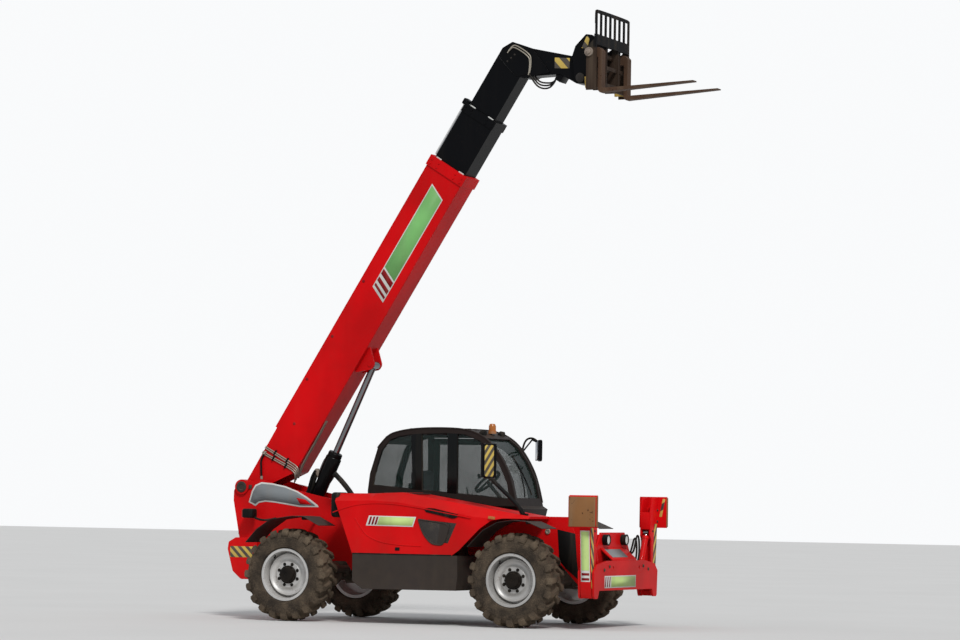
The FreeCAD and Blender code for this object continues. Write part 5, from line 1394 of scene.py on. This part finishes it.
@dataclass
class Bodywork(Fitter):
    """Engine hood, skirt, tank, fenders, mirrors and lamps."""

    built: Built
    skirt_half: float = 1.140
    built_cab_side: float = 1.150

    def build(self) -> None:
        """Dress the bodywork and add its pieces."""
        self.built.dress(Finish.RED, "engine_hood")
        self.built.dress(Finish.MESH, "hood_grille")
        self.built.dress(Finish.PLASTIC, "side_skirt", "fenders", "fuel_tank")
        self.built.dress(Finish.BLACK, "mirrors")
        self.built.dress(Finish.CAST, "engine_block")
        self.built.dress(Finish.LENSES, "lamps")
        self.hood()
        self.mirrors()
        self.tank()

    def side(self, z: float) -> float:
        """How far out the hood's side is at a height, on the right."""
        return -(self.skirt_half - 0.042 * (z - 0.840) / 0.66)

    def on_side(self, name: str, outline: list[Flat], lift: float, thick: float) -> bpy.types.Object:
        """Lay a thin plate on the hood's leaning side.

        Args:
            name: the plate's name.
            outline: corners ahead of the rear axle, and height.
            lift: its distance from the side.
            thick: its thickness.

        Returns:
            The plate.
        """
        plate = Bench.plate(name, drawn(*outline), Plane.SIDE, -lift - thick, -lift, thick * 0.3)
        for vertex in plate.data.vertices:
            vertex.co.y += self.side(vertex.co.z)
        return plate

    def hood(self) -> None:
        """Add the hood's sign plate, slot, crease, latch, marker lamp and intake."""
        self.fit(self.on_side("hood_sign_edge", [(1.123, 1.331), (1.767, 1.323), (1.728, 1.199), (1.084, 1.206)], 0.0003, 0.002),
                 "chassis", Finish.WHITE)
        self.fit(self.on_side("hood_sign", [(1.270, 1.318), (1.745, 1.311), (1.716, 1.212), (1.238, 1.217)], 0.0023, 0.001),
                 "chassis", Finish.LIME)
        bars = [self.on_side("hood_sign_bar", [(x + 0.032, 1.318), (x + 0.058, 1.318), (x + 0.030, 1.219), (x + 0.004, 1.219)], 0.0023, 0.001)
                for x in (1.110, 1.155, 1.198)]
        self.fit(Bench.joined("hood_sign_bars", bars), "chassis", Finish.BARS)
        crease = []
        for lift, line in ((0.002, ((0.62, 1.36), (0.80, 1.43), (1.05, 1.478), (1.35, 1.485), (1.70, 1.452), (2.10, 1.385), (2.50, 1.320))),
                           (0.001, ((0.93, 1.30), (1.00, 1.20), (1.10, 1.08), (1.30, 1.00), (1.60, 0.97), (1.85, 0.965)))):
            crease.append(Bench.hose("hood_crease", [(ahead(x), self.side(z) - lift, z) for x, z in line], 0.0065, 3))
        self.fit(Bench.joined("hood_creases", crease), "chassis", Finish.RED)
        rim = [(1.800, 1.293), (2.012, 1.268), (2.224, 1.240), (2.186, 1.112), (2.149, 0.984), (2.040, 0.987), (1.965, 1.012), (1.845, 1.150)]
        line = [(ahead(x), self.side(z) - 0.001, z) for x, z in rim]
        self.fit(Bench.hose("grille_rim", line + [line[0]], 0.010, 3), "chassis", Finish.PLASTIC)
        mesh = self.on_side("grille_cover", [(1.806, 1.288), (2.100, 1.254), (2.062, 0.994), (2.040, 0.992), (1.969, 1.016), (1.850, 1.150)], 0.0004, 0.003)
        self.fit(mesh, "chassis", Finish.MESH)
        blank = self.on_side("grille_blank", [(2.100, 1.254), (2.218, 1.239), (2.145, 0.989), (2.062, 0.994)], 0.0004, 0.004)
        self.fit(blank, "chassis", Finish.PLASTIC)
        fill = self.on_side("slot_end", [(2.325, 1.380), (2.462, 1.352), (2.455, 1.322), (2.325, 1.342)], 0.0003, 0.0015)
        self.fit(fill, "chassis", Finish.RED)
        slot = self.on_side("slot_panel", [(1.862, 1.429), (1.955, 1.430), (2.150, 1.397), (2.300, 1.366), (2.338, 1.345), (2.310, 1.322),
                                           (2.262, 1.309), (2.060, 1.352), (1.897, 1.384)], 0.0010, 0.003)
        vanes = [self.on_side("slot_vane", [(x, z), (x + 0.042, z - 0.008), (x + 0.034, z - 0.034), (x - 0.008, z - 0.026)], 0.004, 0.004)
                 for x, z in ((1.915 + 0.058 * i, 1.417 - 0.0105 * i) for i in range(6))]
        self.fit(Bench.joined("slot_vanes", [slot] + vanes), "chassis", Finish.SEAL)
        marker = self.on_side("side_marker", [(2.740, 1.352), (2.830, 1.340), (2.826, 1.306), (2.736, 1.318)], 0.0, 0.014)
        self.fit(marker, "chassis", Finish.LENSES)
        latch = [Bench.slab("latch", (ahead(1.50), -1.1425, 0.905), (ahead(1.56), -1.130, 0.945), 0.004, 3)]
        self.fit(Bench.joined("hood_latch", latch), "chassis", Finish.SEAL)
        seam = [(ahead(0.915), self.side(0.862) + 0.001, 0.862), (ahead(1.6), self.side(0.862) + 0.001, 0.862), (ahead(2.26), self.side(0.862) + 0.001, 0.862)]
        self.fit(Bench.hose("hood_seam", seam, 0.006, 2), "chassis", Finish.SEAL)
        intake = Bench.slab("air_intake", (ahead(0.550), -1.045, 1.300), (ahead(0.660), -0.70, 1.612), 0.045, 5)
        self.fit(intake, "chassis", Finish.SEAL)
        louvres = [Bench.slab("top_louvre", (ahead(1.20 + 0.055 * i), -0.86, 1.602), (ahead(1.235 + 0.055 * i), -0.48, 1.618), 0.004)
                   for i in range(9)]
        self.fit(Bench.joined("hood_louvres", louvres), "chassis", Finish.PLASTIC)
        pipe = Bench.hose("exhaust", [(ahead(0.70), -0.60, 1.48), (ahead(0.645), -0.60, 1.57), (ahead(0.56), -0.60, 1.675),
                                      (ahead(0.46), -0.60, 1.780), (ahead(0.385), -0.60, 1.845)], 0.033, 6)
        collar = Bench.lathe("exhaust_collar", (ahead(0.392), -0.60, 1.837), (-0.75, 0, 0.66), [(-0.02, 0.036), (0.012, 0.036), (0.014, 0.028)], 20)
        self.fit(Bench.joined("exhaust_pipe", [pipe, collar]), "chassis", Finish.HOSE)

    def mirrors(self) -> None:
        """Put glass in the mirrors, and stripes on the right one's back."""
        for name, at, half, high, turn in (("right", (0.740, -0.965, 1.820), 0.100, 0.410, -35), ("left", (0.515, 1.105, 2.060), 0.085, 0.260, 35)):
            frame = Matrix.Translation(at) @ Matrix.Rotation(math.radians(turn), 4, "Z")
            glass = Bench.slab(f"mirror_glass_{name}", (-0.0225, -half + 0.010, 0.012), (-0.0195, half - 0.010, high - 0.012), 0.001)
            self.fit(Bench.moved(glass, frame), "chassis", Finish.MIRROR)
            wide, cut = half * 0.94, 0.030
            ring = [(-wide, cut - 0.01), (-wide + cut * 0.3, 0.0), (-wide + cut, -0.01), (wide - cut, -0.01), (wide - cut * 0.3, 0.0),
                    (wide, cut - 0.01), (wide, high - cut), (wide - cut * 0.3, high - 0.002), (wide - cut, high + 0.008),
                    (-wide + cut, high + 0.008), (-wide + cut * 0.3, high - 0.002), (-wide, high - cut)]
            shell = Bench.plate(f"mirror_shell_{name}", ring, Plane.FRONT, 0.006, 0.040, 0.012)
            self.fit(Bench.moved(shell, frame), "chassis", Finish.BLACK)
            if name == "right":
                strip = [(-wide + 0.012, 0.030), (-wide + 0.030, 0.012), (wide - 0.060, 0.012), (wide - 0.045, 0.035), (wide - 0.045, high - 0.035),
                         (wide - 0.060, high - 0.014), (-wide + 0.030, high - 0.014), (-wide + 0.012, high - 0.035)]
                back = Bench.plate("mirror_stripes", strip, Plane.FRONT, 0.0402, 0.0415, 0.0004)
                self.fit(Bench.moved(back, frame), "chassis", Finish.RISING)
        arm = Bench.hose("mirror_arm", [(ahead(3.105), -0.905, 1.372), (ahead(3.085), -0.915, 1.420), (ahead(3.045), -0.932, 1.490),
                                        (ahead(2.86), -0.947, 1.658), (ahead(2.675), -0.962, 1.828)], 0.025, 5)
        self.fit(arm, "chassis", Finish.SEAL)
        out = self.built_cab_side + 0.022
        bow = Bench.hose("mirror_bow", [(ahead(2.185), out, 2.150), (ahead(2.200), out, 2.260), (ahead(2.255), out, 2.345), (ahead(2.340), out, 2.350),
                                        (ahead(2.410), out, 2.300), (ahead(2.440), out - 0.012, 2.200), (ahead(2.445), out - 0.03, 2.130)], 0.013, 4)
        self.fit(bow, "chassis", Finish.SEAL)

    def tank(self) -> None:
        """Add the tank's cap and tread strips on its steps."""
        cap = Bench.lathe("tank_cap", (ahead(2.05), 1.138, 0.70), (0, 1, 0), [(0, 0.05), (0.02, 0.05), (0.024, 0.042), (0.03, 0.042), (0.034, 0.03)], 16)
        self.fit(cap, "chassis", Finish.BLACK)
        treads = []
        for low in (0.482, 0.652):
            for index in range(9):
                x = ahead(1.275 + 0.054 * index)
                depth = 0.945 if low < 0.6 else 1.015
                treads.append(Bench.slab("step_tread", (x, depth, low - 0.002), (x + 0.02, 1.146, low + 0.006), 0.002))
        self.fit(Bench.joined("step_treads", treads), "chassis", Finish.ZINC)


@dataclass
class Chassis(Fitter):
    """Side plates, counterweight, front beam and stabilisers, with signs, stripes and hoses."""

    built: Built
    weight_half: float = 0.450
    plate_half: float = 0.350

    def build(self) -> None:
        """Dress the chassis and add its pieces."""
        self.built.dress(Finish.RED, "chassis_side_", "front_beam", "rear_counterweight", "stabiliser_left", "stabiliser_right")
        self.built.dress(Finish.DARK_RED, "chassis_cross_members")
        self.built.dress(Finish.CAST, "front_axle", "rear_axle", "knuckle_", "boom_pivot_pin")
        self.built.dress(Finish.RED, "stabiliser_left_barrel", "stabiliser_right_barrel")
        self.built.dress(Finish.CHROME, "stabiliser_left_rod", "stabiliser_right_rod", "steer_rod_front", "steer_rod_rear")
        self.rear()
        self.tower()
        self.front()
        self.stabilisers()

    def rear(self) -> None:
        """Add the counterweight's stripes and the towing pin."""
        side = Bench.plate("weight_stripes", drawn((-1.160, 0.905), (-0.835, 0.905), (-0.835, 0.765), (-1.160, 0.765)), Plane.SIDE,
                           self.weight_half + 0.0003, self.weight_half + 0.002, 0.0005)
        self.fit(Bench.copies(side, list(BOTH)), "chassis", Finish.STRIPES)
        pin = Bench.lathe("tow_pin", (ahead(-1.150), 0, 0.50), (0, 0, 1), [(0, 0.010), (0.008, 0.0145), (0.115, 0.0145), (0.118, 0.026), (0.13, 0.026)], 16)
        loop = Bench.hose("tow_pin_grip", [(ahead(-1.150), -0.03, 0.628), (ahead(-1.150), -0.035, 0.66), (ahead(-1.150), 0, 0.68),
                                           (ahead(-1.150), 0.035, 0.66), (ahead(-1.150), 0.03, 0.628)], 0.006)
        self.fit(Bench.joined("tow_pin", [pin, loop]), "chassis", Finish.ZINC)

    def tower(self) -> None:
        """Add the rear tower's grey sign, the pivot pin's keepers and the rear lamps' cables."""
        outline = drawn((-0.960, 1.470), (-0.917, 1.615), (-0.870, 1.690), (-0.780, 1.728), (-0.620, 1.715), (-0.431, 1.680), (-0.260, 1.620),
                        (-0.120, 1.545), (0.030, 1.445), (0.045, 1.420), (-0.226, 1.418), (-0.431, 1.448), (-0.600, 1.470), (-0.720, 1.478),
                        (-0.810, 1.462), (-0.858, 1.420))
        inset = drawn((-0.938, 1.478), (-0.898, 1.606), (-0.858, 1.674), (-0.778, 1.708), (-0.622, 1.696), (-0.437, 1.662), (-0.268, 1.603),
                      (-0.131, 1.529), (-0.010, 1.446), (-0.010, 1.436), (-0.222, 1.436), (-0.427, 1.466), (-0.600, 1.489), (-0.722, 1.497),
                      (-0.818, 1.480), (-0.862, 1.446))
        patch = Bench.plate("tower_sign_patch", drawn((-0.275, 1.535), (-0.150, 1.515), (-0.055, 1.450), (-0.220, 1.455)), Plane.SIDE,
                            self.plate_half + 0.003, self.plate_half + 0.004, 0.0003)
        self.fit(Bench.copies(patch, list(BOTH)), "chassis", Finish.RED)
        edge = Bench.plate("tower_sign_edge", outline, Plane.SIDE, self.plate_half + 0.0003, self.plate_half + 0.002, 0.0005)
        self.fit(Bench.copies(edge, list(BOTH)), "chassis", Finish.WHITE)
        sign = Bench.plate("tower_sign", inset, Plane.SIDE, self.plate_half + 0.002, self.plate_half + 0.003, 0.0003)
        self.fit(Bench.copies(sign, list(BOTH)), "chassis", Finish.GREY)
        cap = Bench.lathe("pivot_cap", (-2.978, 0.382, 1.664), (0, 1, 0), [(-0.006, 0.070), (0.006, 0.070), (0.010, 0.064), (0.010, 0.040), (0.004, 0.034)], 28)
        keeper = Bench.slab("pivot_keeper", (-2.90, 0.350, 1.640), (-2.84, 0.362, 1.690), 0.004)
        self.fit(Bench.copies(Bench.joined("pivot_caps", [cap, keeper]), list(BOTH)), "chassis", Finish.CAST)
        cable = Bench.hose("lamp_cable", [(ahead(-0.90), 0.50, 1.315), (ahead(-0.82), 0.50, 1.29), (ahead(-0.74), 0.46, 1.245), (ahead(-0.64), 0.38, 1.245),
                                          (ahead(-0.56), 0.355, 1.27)], 0.014)
        self.fit(Bench.copies(cable, list(BOTH)), "chassis", Finish.HOSE)
        guard = Bench.slab("tail_housing", (ahead(-0.945), 0.424, 1.268), (ahead(-0.790), 0.568, 1.388), 0.026, 4)
        self.fit(Bench.copies(guard, list(BOTH)), "chassis", Finish.SEAL)
        # A black sheet on the side plate paints the shade in the recess behind the stabiliser leg.
        shade_sheet = Bench.plate("painted_recess_shade", drawn((3.334, 1.198), (3.573, 1.150), (3.600, 0.800), (3.640, 0.570), (3.450, 0.720), (3.364, 0.816)),
                             Plane.SIDE, self.plate_half + 0.0003, self.plate_half + 0.002, 0.0005)
        self.fit(Bench.copies(shade_sheet, list(BOTH)), "chassis", Finish.SEAL)
        ring = Bench.lathe("side_eye", (ahead(3.207), self.plate_half, 1.170), (0, 1, 0), [(-0.002, 0.034), (0.012, 0.034), (0.014, 0.030), (0.014, 0.018),
                                                                                      (0.004, 0.016)], 20)
        self.fit(Bench.copies(ring, list(BOTH)), "chassis", Finish.ZINC)

    def front(self) -> None:
        """Add the front beam's bare plates, headlamp rims and the hoses over the nose."""
        x = ahead(4.115)
        back = Bench.slab("beam_sign_edge", (x + 0.0002, -0.715, 0.500), (x + 0.0015, 0.315, 0.648), 0.0004)
        self.fit(back, "chassis", Finish.WHITE)
        sign = Bench.slab("beam_sign", (x + 0.0015, -0.500, 0.512), (x + 0.0022, 0.300, 0.636), 0.0003)
        self.fit(sign, "chassis", Finish.LIME)
        bars = [Bench.plate("beam_sign_bar", [(y, 0.512), (y + 0.028, 0.512), (y + 0.048, 0.636), (y + 0.020, 0.636)], Plane.FRONT,
                            x + 0.0015, x + 0.0022, 0.0002) for y in (-0.705, -0.638, -0.571)]
        self.fit(Bench.joined("beam_sign_bars", bars), "chassis", Finish.BARS)
        slope = [(3.9305, 0.985), (3.9305, 0.960), (4.0895, 0.826), (4.0895, 0.846)]
        apron = Bench.plate("beam_apron", drawn(*slope), Plane.SIDE, -0.400, 0.400, 0.003)
        self.fit(apron, "chassis", Finish.RED)
        skew = [(3.955, 0.9650), (3.955, 0.9662), (4.065, 0.8700), (4.065, 0.8688)]
        sign = Bench.plate("apron_sign", drawn(*skew), Plane.SIDE, -0.330, 0.180, 0.0002)
        self.fit(sign, "chassis", Finish.GREY)
        for hand, side in (("left", 1), ("right", -1)):
            rim = Bench.lathe(f"head_lamp_rim_{hand}", (ahead(3.931), side * 0.300, 1.080), (1, 0, 0),
                              [(0, 0.066), (0.050, 0.066), (0.064, 0.070), (0.068, 0.066), (0.068, 0.055), (0.056, 0.052)], 28)
            self.fit(rim, "chassis", Finish.SEAL)
        bolt = Bench.bolt("beam_bolts", 0.016)
        frames = [standing((x, side * y, z), (1, 0, 0)) for side in (1, -1) for y, z in ((0.560, 0.760), (0.730, 0.720))]
        self.fit(Bench.copies(bolt, frames), "chassis", Finish.CAST)
        hoses = []
        for side in (1,):
            for shift in (0.0, 0.035):
                line = [(3.925, 0.440, 0.900), (3.985, 0.440, 0.905), (4.010, 0.450, 1.000), (4.012, 0.500, 1.100 + shift), (4.012, 0.570, 1.095 + shift),
                        (4.010, 0.605, 0.980), (4.008, 0.595, 0.860), (3.985, 0.585, 0.780), (3.925, 0.580, 0.770)]
                hoses.append(Bench.hose("beam_hose", [(ahead(px) + shift * 0.6, side * (py + shift), pz) for px, py, pz in line], 0.012))
        self.fit(Bench.joined("beam_hoses", hoses), "chassis", Finish.HOSE)

    def stabilisers(self) -> None:
        """Add the soles' worn plates, the stripes and the signs of the folded legs."""
        x, y, z = ahead(4.010), 0.985, 0.430
        for hand, side in (("left", 1), ("right", -1)):
            body = f"stabiliser_{hand}"
            face = Bench.slab(f"sole_plate_{hand}", (x - 0.172, y + 0.2155, z + 0.812), (x + 0.172, y + 0.2225, z + 1.172), 0.004)
            ends = [Bench.slab(f"sole_end_{hand}", (x + low, y + 0.163, z + 0.812), (x + high, y + 0.212, z + 1.178), 0.003)
                    for low, high in ((-0.184, -0.1803), (0.1803, 0.184))]
            both = Bench.joined(f"sole_wear_{hand}", [face] + ends)
            self.fit(Bench.copies(both, [Matrix.Scale(side, 4, (0, 1, 0))]), body, Finish.RUST)
            mirror = Matrix.Scale(side, 4, (0, 1, 0))
            strip = [(y + 0.030, z + 0.850), (y + 0.120, z + 0.850), (y + 0.115, z + 0.700), (y + 0.068, z + 0.070), (y - 0.022, z + 0.070)]
            stripe = Bench.plate(f"leg_stripes_{hand}", strip, Plane.FRONT, x + 0.0702, x + 0.072, 0.0005)
            self.fit(Bench.copies(stripe, [mirror]), body, Finish.LEG)
            gusset = [(y - 0.100, z + 0.770), (y - 0.108, z + 1.000), (y - 0.040, z + 1.185), (y + 0.155, z + 1.187), (y + 0.155, z + 0.800)]
            cheeks = [Bench.plate(f"leg_gusset_{hand}", gusset, Plane.FRONT, x + low, x + low + 0.014, 0.003) for low in (-0.0695, 0.0555)]
            top = Bench.slab(f"leg_gusset_{hand}", (x - 0.068, y - 0.104, z + 0.780), (x + 0.068, y - 0.090, z + 0.995), 0.003)
            self.fit(Bench.copies(Bench.joined(f"leg_gusset_{hand}", cheeks + [top]), [mirror]), body, Finish.RED)
            for name, low, high, wide, lift, finish in (("edge", 0.150, 0.765, 0.060, 0.0004, Finish.WHITE), ("face", 0.285, 0.755, 0.050, 0.0014, Finish.LIME),
                                                        ("bar_low", 0.165, 0.195, 0.050, 0.0014, Finish.BARS),
                                                        ("bar_high", 0.225, 0.255, 0.050, 0.0014, Finish.BARS)):
                face = [(y + 0.070 + 0.0714 * low + lift, z + low), (y + 0.071 + 0.0714 * low + lift, z + low),
                        (y + 0.071 + 0.0714 * high + lift, z + high), (y + 0.070 + 0.0714 * high + lift, z + high)]
                sign = Bench.plate(f"leg_sign_{name}_{hand}", face, Plane.FRONT, x - wide, x + wide, 0.0002)
                self.fit(Bench.copies(sign, [mirror]), body, finish)
            mark = Bench.plate(f"sole_stripes_{hand}", [(x + 0.085, z + 0.940), (x + 0.120, z + 0.940), (x + 0.165, z + 1.165), (x + 0.130, z + 1.165)],
                               Plane.SIDE, y + 0.1582, y + 0.1597, 0.0003)
            self.fit(Bench.copies(mark, [mirror]), body, Finish.LEG)
            bolt = Bench.bolt(f"leg_bolts_{hand}", 0.012)
            frames = [Matrix.Scale(side, 4, (0, 1, 0)) @ standing((x + 0.07, y + dy, z + dz), (1, 0, 0))
                      for dy, dz in ((0.13, 0.88), (0.13, 1.02), (-0.02, 0.76))]
            self.fit(Bench.copies(bolt, frames), body, Finish.CAST)


@dataclass(frozen=True)
class Studio:
    """Floor, light and the photograph's point of view."""

    camera_at: Point = (18.047, -40.039, 1.5)
    turn: float = 24.07
    pitch: float = 3.01
    roll: float = 0.94
    lens: float = 130.87

    def camera(self) -> None:
        """Place the camera, low down and tipped up at the boom, with a small roll."""
        bpy.ops.object.camera_add(location=self.camera_at)
        camera = bpy.context.object
        level = Matrix.Rotation(math.radians(self.turn), 4, "Z") @ Matrix.Rotation(math.radians(90 + self.pitch), 4, "X")
        camera.matrix_world = Matrix.Translation(self.camera_at) @ level @ Matrix.Rotation(math.radians(self.roll), 4, "Z")
        camera.data.lens = self.lens
        camera.data.clip_end = 400
        bpy.context.scene.camera = camera

    def floor(self) -> None:
        """Lay the pale floor, which is white where only the background would show."""
        bpy.ops.mesh.primitive_grid_add(x_subdivisions=8, y_subdivisions=8, size=220, location=(0, 0, -0.002))
        ground = bpy.context.object
        ground.name = ground.data.name = "floor"
        g = Graph("floor")
        soft = g.noise(0.4, 2)
        ground.data.materials.append(
            g.finish(Base_Color=g.mix((0.60, 0.59, 0.57), (0.66, 0.65, 0.63), soft), Roughness=(0.85 + soft * 0.1).clamp())
        )

    def light(self) -> None:
        """Light the machine softly from the sky and two wide lamps."""
        world = bpy.data.worlds.new("sky")
        bpy.context.scene.world = world
        world.use_nodes = True
        tree = world.node_tree
        tree.nodes.clear()
        path = tree.nodes.new("ShaderNodeLightPath")
        seen = tree.nodes.new("ShaderNodeMath")
        seen.operation = "MAXIMUM"
        tree.links.new(path.outputs["Is Camera Ray"], seen.inputs[0])
        tree.links.new(path.outputs["Is Transmission Ray"], seen.inputs[1])
        sky = tree.nodes.new("ShaderNodeBackground")
        sky.inputs["Color"].default_value = (0.90, 0.94, 1.0, 1.0)
        sky.inputs["Strength"].default_value = 0.50
        white = tree.nodes.new("ShaderNodeBackground")
        white.inputs["Color"].default_value = (0.95, 0.96, 0.97, 1.0)
        mixed = tree.nodes.new("ShaderNodeMixShader")
        tree.links.new(seen.outputs[0], mixed.inputs[0])
        tree.links.new(sky.outputs[0], mixed.inputs[1])
        tree.links.new(white.outputs[0], mixed.inputs[2])
        out = tree.nodes.new("ShaderNodeOutputWorld")
        tree.links.new(mixed.outputs[0], out.inputs["Surface"])
        for name, turn, strength, angle in (("sun_right", (46, 0, 40), 2.1, 12), ("sun_left", (62, 0, -75), 0.4, 40)):
            bpy.ops.object.light_add(type="SUN", rotation=[math.radians(a) for a in turn])
            lamp = bpy.context.object
            lamp.name = lamp.data.name = name
            lamp.data.energy = strength
            lamp.data.angle = math.radians(angle)


def main() -> None:
    """Build the pieces in order and report them."""
    logging.basicConfig(level=logging.INFO, format="%(message)s")
    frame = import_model()
    bpy.ops.object.select_all(action="DESELECT")
    bpy.context.scene.view_settings.view_transform = "Standard"
    built = Built(frame["nodes"])
    studio = Studio()
    studio.camera()
    studio.floor()
    studio.light()
    for kind in (Wheels, Boom, LiftCylinder, Carriage, Cab, Bodywork, Chassis):
        kind(built).build()
    LOG.info("left bare: %s", sorted(built.left))


if __name__ == "__main__":
    main()
